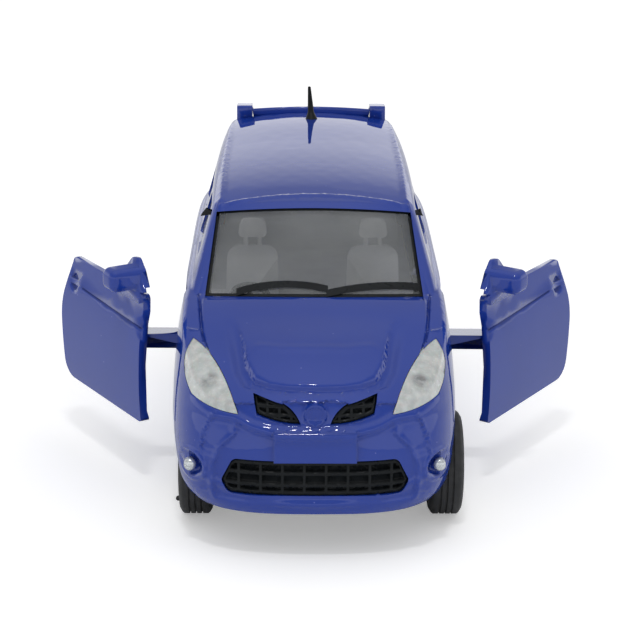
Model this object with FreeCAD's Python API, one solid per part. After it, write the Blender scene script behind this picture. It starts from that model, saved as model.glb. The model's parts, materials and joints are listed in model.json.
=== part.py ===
"""Pull back toy car: a small people carrier with opening front doors.

The nose points along -Y, +Z is up and the wheels stand on z = 0. The origin is
the middle of the footprint. Each sub-part is one STEP file in parts/.
"""
import FreeCAD, Part
import math
import os
from FreeCAD import Vector

# ---------------------------------------------------------------- driving sizes (mm)
# body casting
wall = 1.3                  # thickness of the die-cast walls
body_front = 58.4           # centre to the bumper's foremost point
body_rear = 58.4            # centre to the rear bumper
body_half_width = 22.8      # half width at the door bulge
sill_height = 7.5           # underside of the bumpers and sills
belt_height = 34.4          # middle of the belt line under the windows
belt_half_width = 20.2      # half width of the cabin at the belt
roof_height = 47.0          # crown of the roof
roof_taper = 0.30           # lean of the cabin sides, mm inwards per mm up
screen_foot_y = -30.7       # foot of the windscreen on the centre line
screen_slope = 1.43         # run of the windscreen per mm of rise
shoulder_radius = 1.8       # rounding of wings and bonnet edge
cabin_corner_radius = 2.2   # rounding of the screen pillars
roof_edge_radius = 2.4      # rounding along the roof
arch_gap = 1.5              # tyre to wheel arch

# doors
door_gap = 0.25             # shut line round a door
door_front_gap = 0.55       # shut line at the hinge edge
door_front_y = -24.3
door_rear_y = 5.6
door_bottom_z = 10.9
door_top_z = 33.2
hinge_x = 18.48
hinge_y = -36.42
hinge_boss = 1.7            # radius of the bosses that hold a pin
arm_bottom_z = 22.8
arm_height = 2.4
open_angle_left = 33.0      # opening shown at rest, degrees
open_angle_right = 31.0
pin_radius = 0.75
pin_clearance = 0.05
seat_gap = 0.2              # end gap of pins, arms and bosses

# wheels and axles
wheel_radius = 8.3
tyre_width = 5.4
tyre_outer_x = 22.6
rim_radius = 5.9
axle_radius = 1.0
axle_clearance = 0.06
hub_reach = 1.0             # hub's end inside the tyre's inner face
side_float = 0.4            # room beside a hub or a gear
front_axle_y = -37.5
rear_axle_y = 38.5
front_axle_shift = 1.1      # side float of the front axle at rest

# pull back motor
gear_module = 0.6
pressure_angle = 25.0
gear_backlash = 0.06        # taken off each flank
centre_extra = 0.08         # added to each centre distance
axle_teeth = 10
idler_teeth = 12
step_teeth = 22
step_pinion_teeth = 10
spring_teeth = 26
gear_face = 2.5
plane_one_x = -3.4          # left face of the spring gear
plane_two_x = 0.5           # left face of the fast gears
drum_x = -8.2               # left face of the mainspring
spring_width = 4.0
spring_strip = 0.3
spring_turns = 4
spring_shaft = 1.2          # radius of the spring gear's shaft
drum_radius = 7.7           # room for the wound spring
case_wall = 1.0
case_gap = 0.5
case_split = -0.2           # where the two halves of the case meet

# chassis and inside
chassis_bottom = 4.4
chassis_thickness = 1.5
floor_z = 13.0
floor_thickness = 1.2
rear_floor_z = 23.4
seat_x = 10.6
seat_width = 9.8
steering_ring = 3.1         # radius of the steering wheel
steering_bar = 0.8          # thickness of its ring
screw_radius = 0.9
boss_radius = 2.3
front_screw_y = -46.5
rear_screw_y = 50.5

# trim
trim_gap = 0.08             # between an insert and its opening
groove_depth = 0.35         # engraved lines, and the glass below the paint
bar_inset = 0.6             # grille bars below the body's surface
liner_inset = 2.1           # back of the glass moulding and of the grilles
cabin_foot = 32.0           # where the cabin starts inside the lower body
plate_half_width = 6.25
emblem_radius = 1.7
emblem_z = 23.5
emblem_face = 0.978 * body_front    # centre of the car to the emblem's face
fog_x = 19.1
fog_z = 14.0

FAR = 90.0                  # reach of the cutting prisms
PARTS = {}


# ---------------------------------------------------------------- shape helpers
def box(x0, x1, y0, y1, z0, z1):
    """Box between two corners."""
    return Part.makeBox(x1 - x0, y1 - y0, z1 - z0, Vector(x0, y0, z0))


def rod_x(x0, x1, y, z, radius):
    """Round bar along X."""
    return Part.makeCylinder(radius, x1 - x0, Vector(x0, y, z), Vector(1, 0, 0))


def rod_y(x, y0, y1, z, radius):
    """Round bar along Y."""
    return Part.makeCylinder(radius, y1 - y0, Vector(x, y0, z), Vector(0, 1, 0))


def rod_z(x, y, z0, z1, radius):
    """Round bar along Z."""
    return Part.makeCylinder(radius, z1 - z0, Vector(x, y, z0), Vector(0, 0, 1))


def prism(points, direction):
    """Closed outline of points, extruded along a vector."""
    wire = Part.makePolygon([Vector(*p) for p in points] + [Vector(*points[0])])
    return Part.Face(wire).extrude(Vector(*direction))


def side_prism(outline, x0, x1):
    """Outline given as (y, z), extruded from x0 to x1."""
    return prism([(x0, y, z) for y, z in outline], (x1 - x0, 0, 0))


def front_prism(outline, y0, y1):
    """Outline given as (x, z), extruded from y0 to y1."""
    return prism([(x, y0, z) for x, z in outline], (0, y1 - y0, 0))


def plan_prism(outline, z0, z1):
    """Outline given as (x, y), extruded from z0 to z1."""
    return prism([(x, y, z0) for x, y in outline], (0, 0, z1 - z0))


def mirrored(shape):
    """The same shape on the other side of the car."""
    return shape.mirror(Vector(0, 0, 0), Vector(1, 0, 0))


def both_sides(shape):
    """A shape together with its mirror image."""
    return shape.fuse(mirrored(shape))


def joined(shapes):
    """Several overlapping shapes as one clean solid."""
    return shapes[0].fuse(shapes[1:]).removeSplitter() if len(shapes) > 1 else shapes[0]


def edges_where(shape, test):
    """Edges whose middle point passes a test."""
    found = []
    for edge in shape.Edges:
        middle = edge.valueAt((edge.FirstParameter + edge.LastParameter) / 2)
        if test(middle, edge):
            found.append(edge)
    return found


def smooth_lookup(table, key, column):
    """Smooth curve through one column of a table, read at a key."""
    slopes = []
    for i in range(len(table)):
        before = table[max(i - 1, 0)]
        after = table[min(i + 1, len(table) - 1)]
        slopes.append((after[column] - before[column]) / (after[0] - before[0]))
    for i in range(len(table) - 1):
        if key <= table[i + 1][0] or i == len(table) - 2:
            span = table[i + 1][0] - table[i][0]
            t = (key - table[i][0]) / span
            rise = table[i + 1][column] - table[i][column]
            return (table[i][column] + t * t * (3 - 2 * t) * rise
                    + span * t * (1 - t) * ((1 - t) * slopes[i] - t * slopes[i + 1]))


# ---------------------------------------------------------------- outer form
# height: half width, front and rear reach as shares, and the corner's two powers
LOWER_SECTIONS = (
    (sill_height, 0.925, 0.974, 0.972, 3.0, 8.0),
    (sill_height + 2.0, 0.972, 0.991, 0.988, 3.0, 8.0),
    (13.0, 0.994, 1.0, 0.998, 3.0, 8.0),
    (17.0, 1.0, 0.998, 1.0, 2.9, 7.8),
    (21.0, 0.998, 0.986, 0.998, 2.6, 7.2),
    (24.5, 0.990, 0.968, 0.994, 2.3, 6.6),
    (28.0, 0.972, 0.945, 0.990, 2.2, 6.2),
    (32.0, 0.940, 0.905, 0.982, 2.2, 6.0),
    (37.0, 0.890, 0.850, 0.970, 2.2, 6.0),
)
# along the car: height of the bonnet's or belt's middle, and its cross camber
BONNET_LINE = (
    (-66.0, 17.0, 0.018), (-60.5, 21.8, 0.017), (-58.0, 24.0, 0.0160), (-56.0, 25.6, 0.0150),
    (-54.0, 26.9, 0.0140), (-50.0, 28.6, 0.0115), (-46.0, 29.9, 0.0085), (-41.0, 31.3, 0.0052),
    (-36.0, 32.6, 0.0038), (-30.0, 33.9, 0.0030), (-24.0, 34.6, 0.0026),
    (-14.0, 34.9, 0.0020), (20.0, 35.1, 0.0018), (66.0, 34.7, 0.0018),
)
# along the car: height of the roof's middle and its cross camber
ROOF_LINE = (
    (-34.0, 37.6, 0.0085), (-22.0, 43.0, 0.0085), (-15.0, 45.2, 0.0080), (-6.0, 46.3, 0.0068),
    (8.0, roof_height - 0.1, 0.0060), (26.0, roof_height, 0.0056),
    (44.0, roof_height - 0.2, 0.0056), (66.0, roof_height - 1.8, 0.0056),
)
CORNER_ANGLES = (90, 74, 58, 42, 27, 14, 4)


def plan_points(z, width, front, rear, power_x, power_y):
    """Points of the left half of the body's outline, from the tail to the nose."""
    tail = [(angle, rear) for angle in CORNER_ANGLES]
    nose = [(angle, -front) for angle in reversed(CORNER_ANGLES)]
    points = []
    for angle, reach in tail + [(0, 0.0)] + nose:
        across = max(math.cos(math.radians(angle)), 0.0)
        along = math.sin(math.radians(angle))
        points.append(Vector(width * across ** (2.0 / power_x), reach * along ** (2.0 / power_y), z))
    return points


def crowned_cutter(line, drop):
    """Everything above a cambered surface that follows a line along the car."""
    half = body_half_width + 6
    rows = 18
    grid = []
    for i in range(rows):
        y = line[0][0] + (line[-1][0] - line[0][0]) * i / (rows - 1)
        height = smooth_lookup(line, y, 1) - drop
        camber = smooth_lookup(line, y, 2)
        grid.append([Vector(x, y, height - camber * x * x) for x in (-half, -half / 2, 0, half / 2, half)])
    surface = Part.BSplineSurface()
    surface.interpolate(grid)
    return upright(surface.toShape().extrude(Vector(0, 0, roof_height)))


def upright(solid):
    """A solid whose faces point outwards."""
    if solid.Volume < 0:
        solid.reverse()
    return solid


def ruled_form(inset):
    """Plain inner side of the lower body: straight from each second section to the next."""
    wires = []
    for z, width, front, rear, px, py in LOWER_SECTIONS[::2]:
        half = Part.BSplineCurve()
        half.interpolate(plan_points(z, width * body_half_width - inset, front * body_front - inset,
                                     rear * body_rear - inset, px, py))
        edge = half.toShape()
        wires.append(Part.Wire([edge, mirrored(edge)]))
    return Part.makeLoft(wires, True, True).cut(crowned_cutter(BONNET_LINE, inset))


def lower_form(inset):
    """Lower body, inset from the outside by a distance."""
    if inset >= wall:
        return ruled_form(inset)
    rows = []
    for z, width, front, rear, px, py in LOWER_SECTIONS:
        rows.append(plan_points(z, width * body_half_width - inset, front * body_front - inset,
                                rear * body_rear - inset, px, py))
    surface = Part.BSplineSurface()
    surface.interpolate(rows)
    sides = [surface.toShape(), mirrored(surface.toShape())]
    for z in (rows[0][0].z, rows[-1][0].z):
        rim = [e for side in sides for e in side.Edges
               if abs(e.BoundBox.ZMin - z) < 1e-3 and abs(e.BoundBox.ZMax - z) < 1e-3]
        sides.append(Part.Face(Part.Wire(Part.__sortEdges__(rim))))
    shell = Part.makeShell(sides)
    shell.sewShape()
    solid = upright(Part.Solid(shell)).cut(crowned_cutter(BONNET_LINE, inset))
    top = max(solid.Faces, key=lambda face: face.CenterOfMass.z)
    return solid.makeFillet(max(shoulder_radius - inset / 2, 0.8), top.Edges)


def cabin_wire(z, inset):
    """Four-arc outline of the cabin at one height."""
    rise = z - belt_height
    half = belt_half_width - roof_taper * rise - inset
    front = screen_foot_y + screen_slope * (rise + 0.6) + inset * 1.25
    sag = 5.2 + 0.22 * rise
    rear = 56.6 - 0.14 * rise - inset
    rear_half = half - 1.5
    front_left = Vector(-half + 0.5, front + sag, z)
    front_right = Vector(half - 0.5, front + sag, z)
    rear_right = Vector(rear_half, rear - 2.0, z)
    rear_left = Vector(-rear_half, rear - 2.0, z)
    edges = [Part.Arc(front_left, Vector(0, front, z), front_right).toShape(),
             Part.Arc(front_right, Vector(half, 10, z), rear_right).toShape(),
             Part.Arc(rear_right, Vector(0, rear, z), rear_left).toShape(),
             Part.Arc(rear_left, Vector(-half, 10, z), front_left).toShape()]
    return Part.Wire(edges)


def cabin_form(inset):
    """Cabin above the belt, inset from the outside."""
    heights = (cabin_foot, (cabin_foot + 50) / 2, 50.0)
    solid = Part.makeLoft([cabin_wire(z, inset) for z in heights], True, False)
    corners = edges_where(solid, lambda m, e: abs(m.z - heights[1]) < 2)
    solid = solid.makeFillet(max(cabin_corner_radius - inset / 2, 0.8), corners)
    solid = solid.cut(crowned_cutter(ROOF_LINE, inset))
    if inset >= wall:
        return solid
    roof = max((face for face in solid.Faces if face.Area > 1000), key=lambda face: face.CenterOfMass.z)
    return solid.makeFillet(max(roof_edge_radius - inset / 2, 0.8), roof.Edges)


def skin(block, form_name, outer, inner):
    """What a block holds between two insets of the 'lower' or 'cabin' form."""
    return block.common(FORMS[outer][form_name]).cut(FORMS[inner][form_name])


# ---------------------------------------------------------------- outlines
def rounded_face(points, radii):
    """Face inside a closed outline of points, each corner rounded by its own radius."""
    edges = []
    ends = []
    count = len(points)
    for i, (point, radius) in enumerate(zip(points, radii)):
        here = Vector(*point)
        back = (Vector(*points[i - 1]) - here).normalize()
        ahead = (Vector(*points[(i + 1) % count]) - here).normalize()
        half_turn = back.getAngle(ahead) / 2
        reach = radius / math.tan(half_turn)
        middle = (back + ahead).normalize() * (radius / math.sin(half_turn) - radius)
        ends.append((here + back * reach, here + middle, here + ahead * reach))
    for i, (start, middle, end) in enumerate(ends):
        edges.append(Part.Arc(start, middle, end).toShape())
        following = ends[(i + 1) % count][0]
        if (following - end).Length > 1e-4:
            edges.append(Part.makeLine(end, following))
    return Part.Face(Part.Wire(edges))


def side_plate(outline, radii, x0, x1):
    """Rounded outline of (y, z) points, extruded from x0 to x1."""
    face = rounded_face([(x0, y, z) for y, z in outline], radii)
    return face.extrude(Vector(x1 - x0, 0, 0))


def front_plate(outline, radii, y0, y1):
    """Rounded outline of (x, z) points, extruded from y0 to y1."""
    face = rounded_face([(x, y0, z) for x, z in outline], radii)
    return face.extrude(Vector(0, y1 - y0, 0))


def door_opening(gap, front_gap):
    """The door's outline, shrunk by its shut lines, as a block through the left side."""
    front = door_front_y + front_gap
    rear = door_rear_y - gap
    low = door_bottom_z + gap
    top = door_top_z - gap
    outline = [(front, low), (rear - 0.3, low), (rear + 0.9, 24.0), (rear - 2.4, top), (front, top)]
    return side_plate(outline, [0.8, 3.2, 12.0, 1.0, 0.8], 15.0, 30.0)


def headlight_block(grow):
    """Leaf shape of a headlight, as a block along the car."""
    inner = Vector(11.7 - grow, -60, 23.1 - grow)
    outer = Vector(18.9 + grow, -60, 23.9 - grow)
    top = Vector(19.0 + grow * 0.3, -60, 29.9 + grow)
    edges = [Part.Arc(inner, Vector(15.4, -60, 23.3 - grow), outer).toShape(),
             Part.Arc(outer, Vector(20.3 + grow, -60, 26.6), top).toShape(),
             Part.Arc(top, Vector(14.4 - grow, -60, 27.3 + grow), inner).toShape()]
    return Part.Face(Part.Wire(edges)).extrude(Vector(0, hinge_y - hinge_boss - seat_gap + 60, 0))


def tail_lamp_block(grow):
    """Upright tail lamp at the rear corner, as a block along the car."""
    outline = [(15.8 - grow, 21.5 - grow), (25.0, 21.5 - grow), (25.0, 32.0 + grow), (17.6 - grow, 32.0 + grow)]
    return front_plate(outline, [1.2, 0.3, 0.3, 1.2], 49.0 - grow, 62.0)


def upper_grille_block(grow):
    """Left half of the slim upper grille, as a block along the car."""
    outer_top = Vector(9.3 + grow, -60, 25.8 + grow)
    outer_low = Vector(8.8 + grow, -60, 23.3 - grow)
    tip = Vector(2.3 - grow, -60, 22.1 - grow)
    crown = Vector(4.9 - grow, -60, 24.9 + grow)
    edges = [Part.makeLine(outer_top, outer_low),
             Part.Arc(outer_low, Vector(5.6, -60, 22.4 - grow), tip).toShape(),
             Part.Arc(tip, Vector(3.4 - grow, -60, 23.8 + grow), crown).toShape(),
             Part.makeLine(crown, outer_top)]
    return Part.Face(Part.Wire(edges)).extrude(Vector(0, 10, 0))


def lower_grille_block(grow):
    """Wide lower grille, as a block along the car."""
    wide = 14.2 + grow
    outline = [(-12.5, 16.4 + grow), (12.5, 16.4 + grow), (wide, 12.8), (13.2, 10.9 - grow),
               (-13.2, 10.9 - grow), (-wide, 12.8)]
    return front_plate(outline, [1.2, 1.2, 1.0, 1.2, 1.2, 1.0], -62, -46)


def window_blocks(shrink):
    """Openings of the windscreen, side windows and rear window, as through blocks."""
    s = shrink
    foot = [Vector(-17.7 + s, -62, 33.0 + s), Vector(0, -62, 33.75 + s), Vector(17.7 - s, -62, 33.0 + s)]
    head = [Vector(16.3 - s, -62, 42.9 - s), Vector(0, -62, 44.6 - s), Vector(-16.3 + s, -62, 42.9 - s)]
    edges = [Part.Arc(*foot).toShape(), Part.makeLine(foot[2], head[0]),
             Part.Arc(*head).toShape(), Part.makeLine(head[2], foot[0])]
    screen = Part.Face(Part.Wire(edges)).extrude(Vector(0, 52.5, 0))
    low = 35.9 + s
    front_side = side_plate([(-15.4 + s, low), (2.6 - s, low), (2.6 - s, 42.9 - s), (-6.2, 42.9 - s)],
                            [0.8, 0.8, 0.8, 1.5], 14, 24)
    rear_side = side_plate([(5.6 + s, low), (28.4 - s, low), (28.4 - s, 42.7 - s), (5.6 + s, 42.9 - s)],
                           [0.8, 0.8, 0.8, 0.8], 14, 24)
    quarter = side_plate([(31.2 + s, low), (47.5 - s, low + 0.6), (45.0 - s, 42.2 - s), (31.2 + s, 42.7 - s)],
                         [0.8, 1.4, 1.4, 0.8], 13, 24)
    back = front_plate([(-14.0 + s, 35.4 + s), (14.0 - s, 35.4 + s), (12.4 - s, 43.4 - s), (-12.4 + s, 43.4 - s)],
                       [1.2, 1.2, 1.2, 1.2], 50, 62)
    sides = [front_side, rear_side, quarter]
    return [screen, back] + sides + [mirrored(block) for block in sides]


# ---------------------------------------------------------------- body casting
def panel_lines():
    """Engraved shut lines of bonnet, rear doors and tailgate, as cutting strips."""
    w = 0.35
    bonnet = plan_prism([(18.6, -27.0), (18.6 + w, -27.0), (17.6 + w, -38.0), (16.0 + w, -44.5), (16.0, -44.5),
                         (17.6, -38.0)], 25, 40)
    rear_door = [(6.9, 12.5), (27.5, 12.5), (29.5, 19.0), (34.5, 24.5), (34.5, 33.4), (6.9, 33.4)]
    outside = side_plate(rear_door, [1.0, 3.0, 4.0, 3.0, 1.0, 1.0], 15, 30)
    inner = [(6.9 + w, 12.5 + w), (27.5 - w, 12.5 + w), (29.5 - w, 19.0), (34.5 - w, 24.5), (34.5 - w, 33.4 - w),
             (6.9 + w, 33.4 - w)]
    door_ring = outside.cut(side_plate(inner, [0.7, 2.7, 4.0, 2.7, 0.7, 0.7], 14, 31))
    gate = front_plate([(-14.6, 15.0), (14.6, 15.0), (15.0, 33.8), (-15.0, 33.8)], [1.5] * 4, 40, 64)
    gate_inner = front_plate([(-14.6 + w, 15.0 + w), (14.6 - w, 15.0 + w), (15.0 - w, 35.8), (-15.0 + w, 35.8)],
                             [1.2] * 4, 39, 65)
    strips = [bonnet, door_ring]
    strips += [mirrored(strip) for strip in strips]
    return strips + [gate.cut(gate_inner)]


def make_body_shell():
    """Die-cast body with its openings, engraved lines, bosses and cast-on details."""
    foot = min(FORMS[wall]['lower'].Faces, key=lambda face: face.CenterOfMass.z)
    hollow = [FORMS[wall]['lower'], FORMS[wall]['cabin'], foot.extrude(Vector(0, 0, -3))]
    shell = FORMS[0.0]['lower'].fuse(FORMS[0.0]['cabin']).cut(hollow)
    arches = [rod_x(15, 30, y, wheel_radius, wheel_radius + arch_gap) for y in (front_axle_y, rear_axle_y)]
    cuts = arches + [door_opening(0, 0), headlight_block(trim_gap), tail_lamp_block(trim_gap),
                     upper_grille_block(trim_gap)]
    cuts += [mirrored(shape) for shape in cuts]
    cuts += [lower_grille_block(trim_gap)] + window_blocks(0)
    shell = shell.cut(cuts)
    lines = [strip.cut(FORMS[groove_depth]['lower']) for strip in panel_lines()]
    shell = shell.cut(lines)
    fog = rod_y(fog_x, -60, -50.6, fog_z, 1.9)
    shell = shell.cut([fog, mirrored(fog)])
    pieces = [shell]
    pocket = rod_y(fog_x, -51.8, -49.4, fog_z, 2.6).common(FORMS[0.0]['lower'])
    pieces += [pocket, mirrored(pocket)]
    plate_y = -body_front - 0.3
    pieces.append(box(-plate_half_width, plate_half_width, plate_y, plate_y + 1.6, 16.35, 21.2))
    emblem = rod_y(0, -emblem_face, -emblem_face + 1.6, emblem_z, emblem_radius)
    pieces.append(emblem.cut(FORMS[wall]['lower']))
    pieces.append(rod_z(0, front_screw_y, sill_height, 28.8, boss_radius))
    pieces.append(rod_z(0, rear_screw_y, sill_height + 1.0, 21.0, boss_radius))
    pieces.append(box(-0.7, 0.7, rear_screw_y, body_rear - 1.2, sill_height + 1.6, 21.0))
    for side in (1, -1):
        pieces.append(rod_z(side * hinge_x, hinge_y, arm_bottom_z + arm_height + seat_gap, 30.8, hinge_boss))
    shell = shell.fuse(pieces[1:])
    bores = [rod_z(0, y, sill_height - 2, 15.0, screw_radius) for y in (front_screw_y, rear_screw_y)]
    bores += [rod_z(side * hinge_x, hinge_y, 20, 29.0, pin_radius) for side in (1, -1)]
    return shell.cut(bores)


# ---------------------------------------------------------------- doors
def turned(shape, angle):
    """A left door shape swung outwards about its hinge pin."""
    copy = shape.copy()
    copy.rotate(Vector(hinge_x, hinge_y, 0), Vector(0, 0, 1), -angle)
    return copy


def make_left_door():
    """Left door, closed: skin, sail, mirror and gooseneck arm in one casting."""
    panel = skin(door_opening(door_gap, door_front_gap), 'lower', 0.0, wall)
    crease = side_prism([(-26, 27.2), (-26, 27.6), (-1.2, 28.6), (-1.2, 28.2)], 20, 24)
    grip = rod_x(15, 30, door_rear_y - 3.9, 28.8, 1.5)
    grip = grip.cut(box(14, 31, door_rear_y - 6, door_rear_y - 2, 28.4, 29.2))
    panel = panel.cut([tool.cut(FORMS[cut_depth]['lower']) for tool, cut_depth
                       in ((crease, groove_depth), (grip, bar_inset))])
    sail_side = side_plate([(-13.8, 31.6), (-18.7, 38.2), (-20.6, 38.5), (-25.0, 33.9), (-23.4, 31.6)],
                           [0.5, 0.9, 0.9, 0.9, 0.3], 18, 24)
    sail = front_prism([(21.35, 31.6), (19.75, 38.8), (20.75, 38.8), (22.3, 33.4), (22.3, 31.6)],
                       -26, -13).common(sail_side)
    ledge = box(18, 23, -26, door_front_y + door_front_gap, 30, 33.75)
    shoulder = box(18, 21.5, -26, -13, door_top_z - door_gap, 34.45)
    sail = sail.cut([ledge, shoulder])
    mirror = box(20.3, 26.6, -22.6, -18.2, 33.5, 37.3)
    mirror = mirror.makeFillet(1.35, edges_where(mirror, lambda m, e: m.x > 21))
    mirror = mirror.cut(front_prism([(15, 31), (21.45, 31), (19.85, 38.8), (15, 38.8)], -30, -10))
    low = arm_bottom_z
    high = arm_bottom_z + arm_height
    upper_leg = plan_prism([(hinge_x - 2.0, hinge_y), (hinge_x + 0.9, hinge_y),
                            (hinge_x + 0.9, -21.6), (hinge_x - 1.6, -19.6)], low, high)
    reach = plan_prism([(hinge_x - 1.6, -23.6), (hinge_x + 14, -23.6), (hinge_x + 14, -20.0),
                        (hinge_x - 0.4, -20.0), (hinge_x - 1.6, -21.0)], low, high)
    eye = rod_z(hinge_x, hinge_y, low, high, hinge_boss + 0.1)
    arm = joined([eye, turned_back(upper_leg), turned_back(reach).common(FORMS[0.6]['lower'])])
    door = joined([panel, sail, mirror, arm])
    return door.cut(rod_z(hinge_x, hinge_y, low - 1, high + 1, pin_radius + pin_clearance))


def turned_back(shape):
    """An arm piece drawn at the middle of the open angles, swung to the closed door."""
    copy = shape.copy()
    copy.rotate(Vector(hinge_x, hinge_y, 0), Vector(0, 0, 1), (open_angle_left + open_angle_right) / 2)
    return copy


def make_door_pins():
    """The two steel pins that the doors turn on."""
    low = arm_bottom_z - seat_gap - 2.0
    return [rod_z(side * hinge_x, hinge_y, low, 29.0 - seat_gap, pin_radius) for side in (1, -1)]


# ---------------------------------------------------------------- trim
def make_panes():
    """Clear panes that fill the window openings, by node name."""
    screen, back, *sides = [skin(block, 'cabin', groove_depth, wall) for block in window_blocks(trim_gap)]
    return {'windscreen': screen, 'rear_window': back, 'side_windows_left': sides[:3],
            'side_windows_right': sides[3:]}


def make_grille(block, flange, bars):
    """Black mesh: a backing plate behind the wall, and bars that fill the opening."""
    plate = skin(flange, 'lower', wall, liner_inset)
    mesh = skin(block.common(bars), 'lower', bar_inset, wall)
    return joined([plate, mesh])


def make_upper_grille():
    """Both halves of the upper grille on one backing plate."""
    block = upper_grille_block(-trim_gap)
    flange = joined([upper_grille_block(0.7), mirrored(upper_grille_block(0.7)), box(-3, 3, -60, -50, 21.8, 24.0)])
    bars = [box(-10, 10, -60, -50, z - 0.2, z + 0.2) for z in (23.2, 24.4)]
    bars += [box(side * x - 0.2, side * x + 0.2, -60, -50, 20, 27) for side in (1, -1) for x in (3.6, 5.4, 7.2)]
    rim = block.cut(upper_grille_block(-0.45))
    return make_grille(both_sides(block), flange, joined(bars + [rim, mirrored(rim)]))


def make_lower_grille():
    """The wide lower grille with its net of bars."""
    block = lower_grille_block(-trim_gap)
    rows = [box(-16, 16, -62, -46, z - 0.22, z + 0.22) for z in (12.5, 14.4)]
    columns = [box(x - 0.2, x + 0.2, -62, -46, 9, 18) for x in [3.3 * i - 11.55 for i in range(8)]]
    rim = block.cut(lower_grille_block(-0.6))
    return make_grille(block, lower_grille_block(0.8), joined(rows + columns + [rim]))


def make_wipers():
    """Two wiper arms and blades moulded as low ridges on the windscreen."""
    wipers = []
    for points in (((-12.6, 33.6), (-5.0, 34.9), (2.2, 34.4)), ((1.9, 33.9), (9.5, 34.5), (17.0, 33.9))):
        low = [Vector(x, -60, z) for x, z in points]
        high = [point + Vector(0, 0, 0.75) for point in low]
        edges = [Part.Arc(*low).toShape(), Part.makeLine(low[2], high[2]),
                 Part.Arc(*reversed(high)).toShape(), Part.makeLine(high[0], low[0])]
        strip = Part.Face(Part.Wire(edges)).extrude(Vector(0, 40, 0))
        wipers.append(skin(strip, 'cabin', 0.0, groove_depth))
    return wipers


def make_fog_lamps():
    """Two small domed lamps in their round recesses."""
    lamps = []
    for side in (1, -1):
        stem = rod_y(side * fog_x, -53.3, -51.8, fog_z, 0.95)
        front = min(stem.Faces, key=lambda face: face.CenterOfMass.y)
        lamps.append(stem.makeChamfer(0.35, front.Edges))
    return lamps


def make_spoiler():
    """Slim bar across the tail of the roof on two end blocks."""
    bar = side_plate([(52.4, 47.4), (55.8, 47.0), (55.8, 48.0), (52.4, 48.5)], [0.35] * 4, -12.6, 12.6)
    block = side_plate([(50.6, 44.8), (56.4, 44.4), (56.2, 48.4), (51.4, 49.0)], [0.6] * 4, 11.6, 14.6)
    blocks = [block, mirrored(block)]
    return joined([bar] + blocks).cut(FORMS[0.0]['cabin'])


def make_antenna():
    """Short whip on a pear-shaped foot, leaning back."""
    base = Vector(0, 44.6, roof_height - 0.5)
    lean = Vector(-0.06, 0.30, 1).normalize()
    foot = Part.makeCone(1.25, 0.62, 1.7, base, lean)
    whip = Part.makeCone(0.62, 0.28, 5.6, base + lean * 1.7, lean)
    whip = whip.makeFillet(0.2, [max(whip.Edges, key=lambda edge: edge.BoundBox.ZMin)])
    return joined([foot, whip]).cut(FORMS[0.0]['cabin'])


# ---------------------------------------------------------------- wheels
def revolved(profile):
    """Closed outline of (x, radius) points, turned about the X axis."""
    points = [Vector(x, 0, radius) for x, radius in profile]
    face = Part.Face(Part.makePolygon(points + [points[0]]))
    return face.revolve(Vector(0, 0, 0), Vector(1, 0, 0), 360)


def make_tyre():
    """Rubber tyre with a rounded shoulder each side of its tread, on the left and at y = 0."""
    outer = tyre_outer_x
    inner = tyre_outer_x - tyre_width
    shoulder = 0.7
    return revolved([(inner, rim_radius), (inner, wheel_radius - 1.1), (inner + shoulder, wheel_radius),
                     (outer - shoulder, wheel_radius), (outer, wheel_radius - 1.1), (outer - 0.1, rim_radius)])


def placed_wheel(shape, y, side, shift):
    """A left wheel part set on its axle, mirrored when it is on the right."""
    placed = shape.copy() if side == 1 else mirrored(shape)
    placed.translate(Vector(shift, y, wheel_radius))
    return placed


def make_rim():
    """Five twin spokes in a flanged rim with a hub that grips the axle, on the left and at y = 0."""
    outer = tyre_outer_x - 0.1
    inner = tyre_outer_x - tyre_width
    band = revolved([(inner, rim_radius), (inner, rim_radius - 0.7), (outer - 0.6, rim_radius - 0.7),
                     (outer, rim_radius - 0.4), (outer, rim_radius)])
    disc = rod_x(outer - 1.9, outer - 0.9, 0, 0, rim_radius - 0.6)
    hub = rod_x(inner - hub_reach, outer - 0.4, 0, 0, 1.9)
    windows = []
    for i in range(5):
        wide = side_prism([(-1.1, 2.4), (1.1, 2.4), (2.0, 4.8), (-2.0, 4.8)], 10, 30)
        slim = side_prism([(-0.22, 2.3), (0.22, 2.3), (0.45, 4.9), (-0.45, 4.9)], 10, 30)
        slim.rotate(Vector(0, 0, 0), Vector(1, 0, 0), 36)
        for window in (wide, slim):
            window.rotate(Vector(0, 0, 0), Vector(1, 0, 0), 72 * i)
            windows.append(window)
    bore = rod_x(inner - hub_reach, outer - 0.8, 0, 0, axle_radius)
    return joined([band, disc.cut(windows), hub]).cut(bore)


def make_axle(y, shift):
    """Steel axle from rim to rim, held by the hubs."""
    end = tyre_outer_x - 0.1 - 0.8 - 0.2
    return rod_x(-end + shift, end + shift, y, wheel_radius, axle_radius)


# ---------------------------------------------------------------- pull back motor
def gear_tip(teeth):
    """Outer radius of a gear."""
    return gear_module * (teeth / 2 + 0.8)


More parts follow.
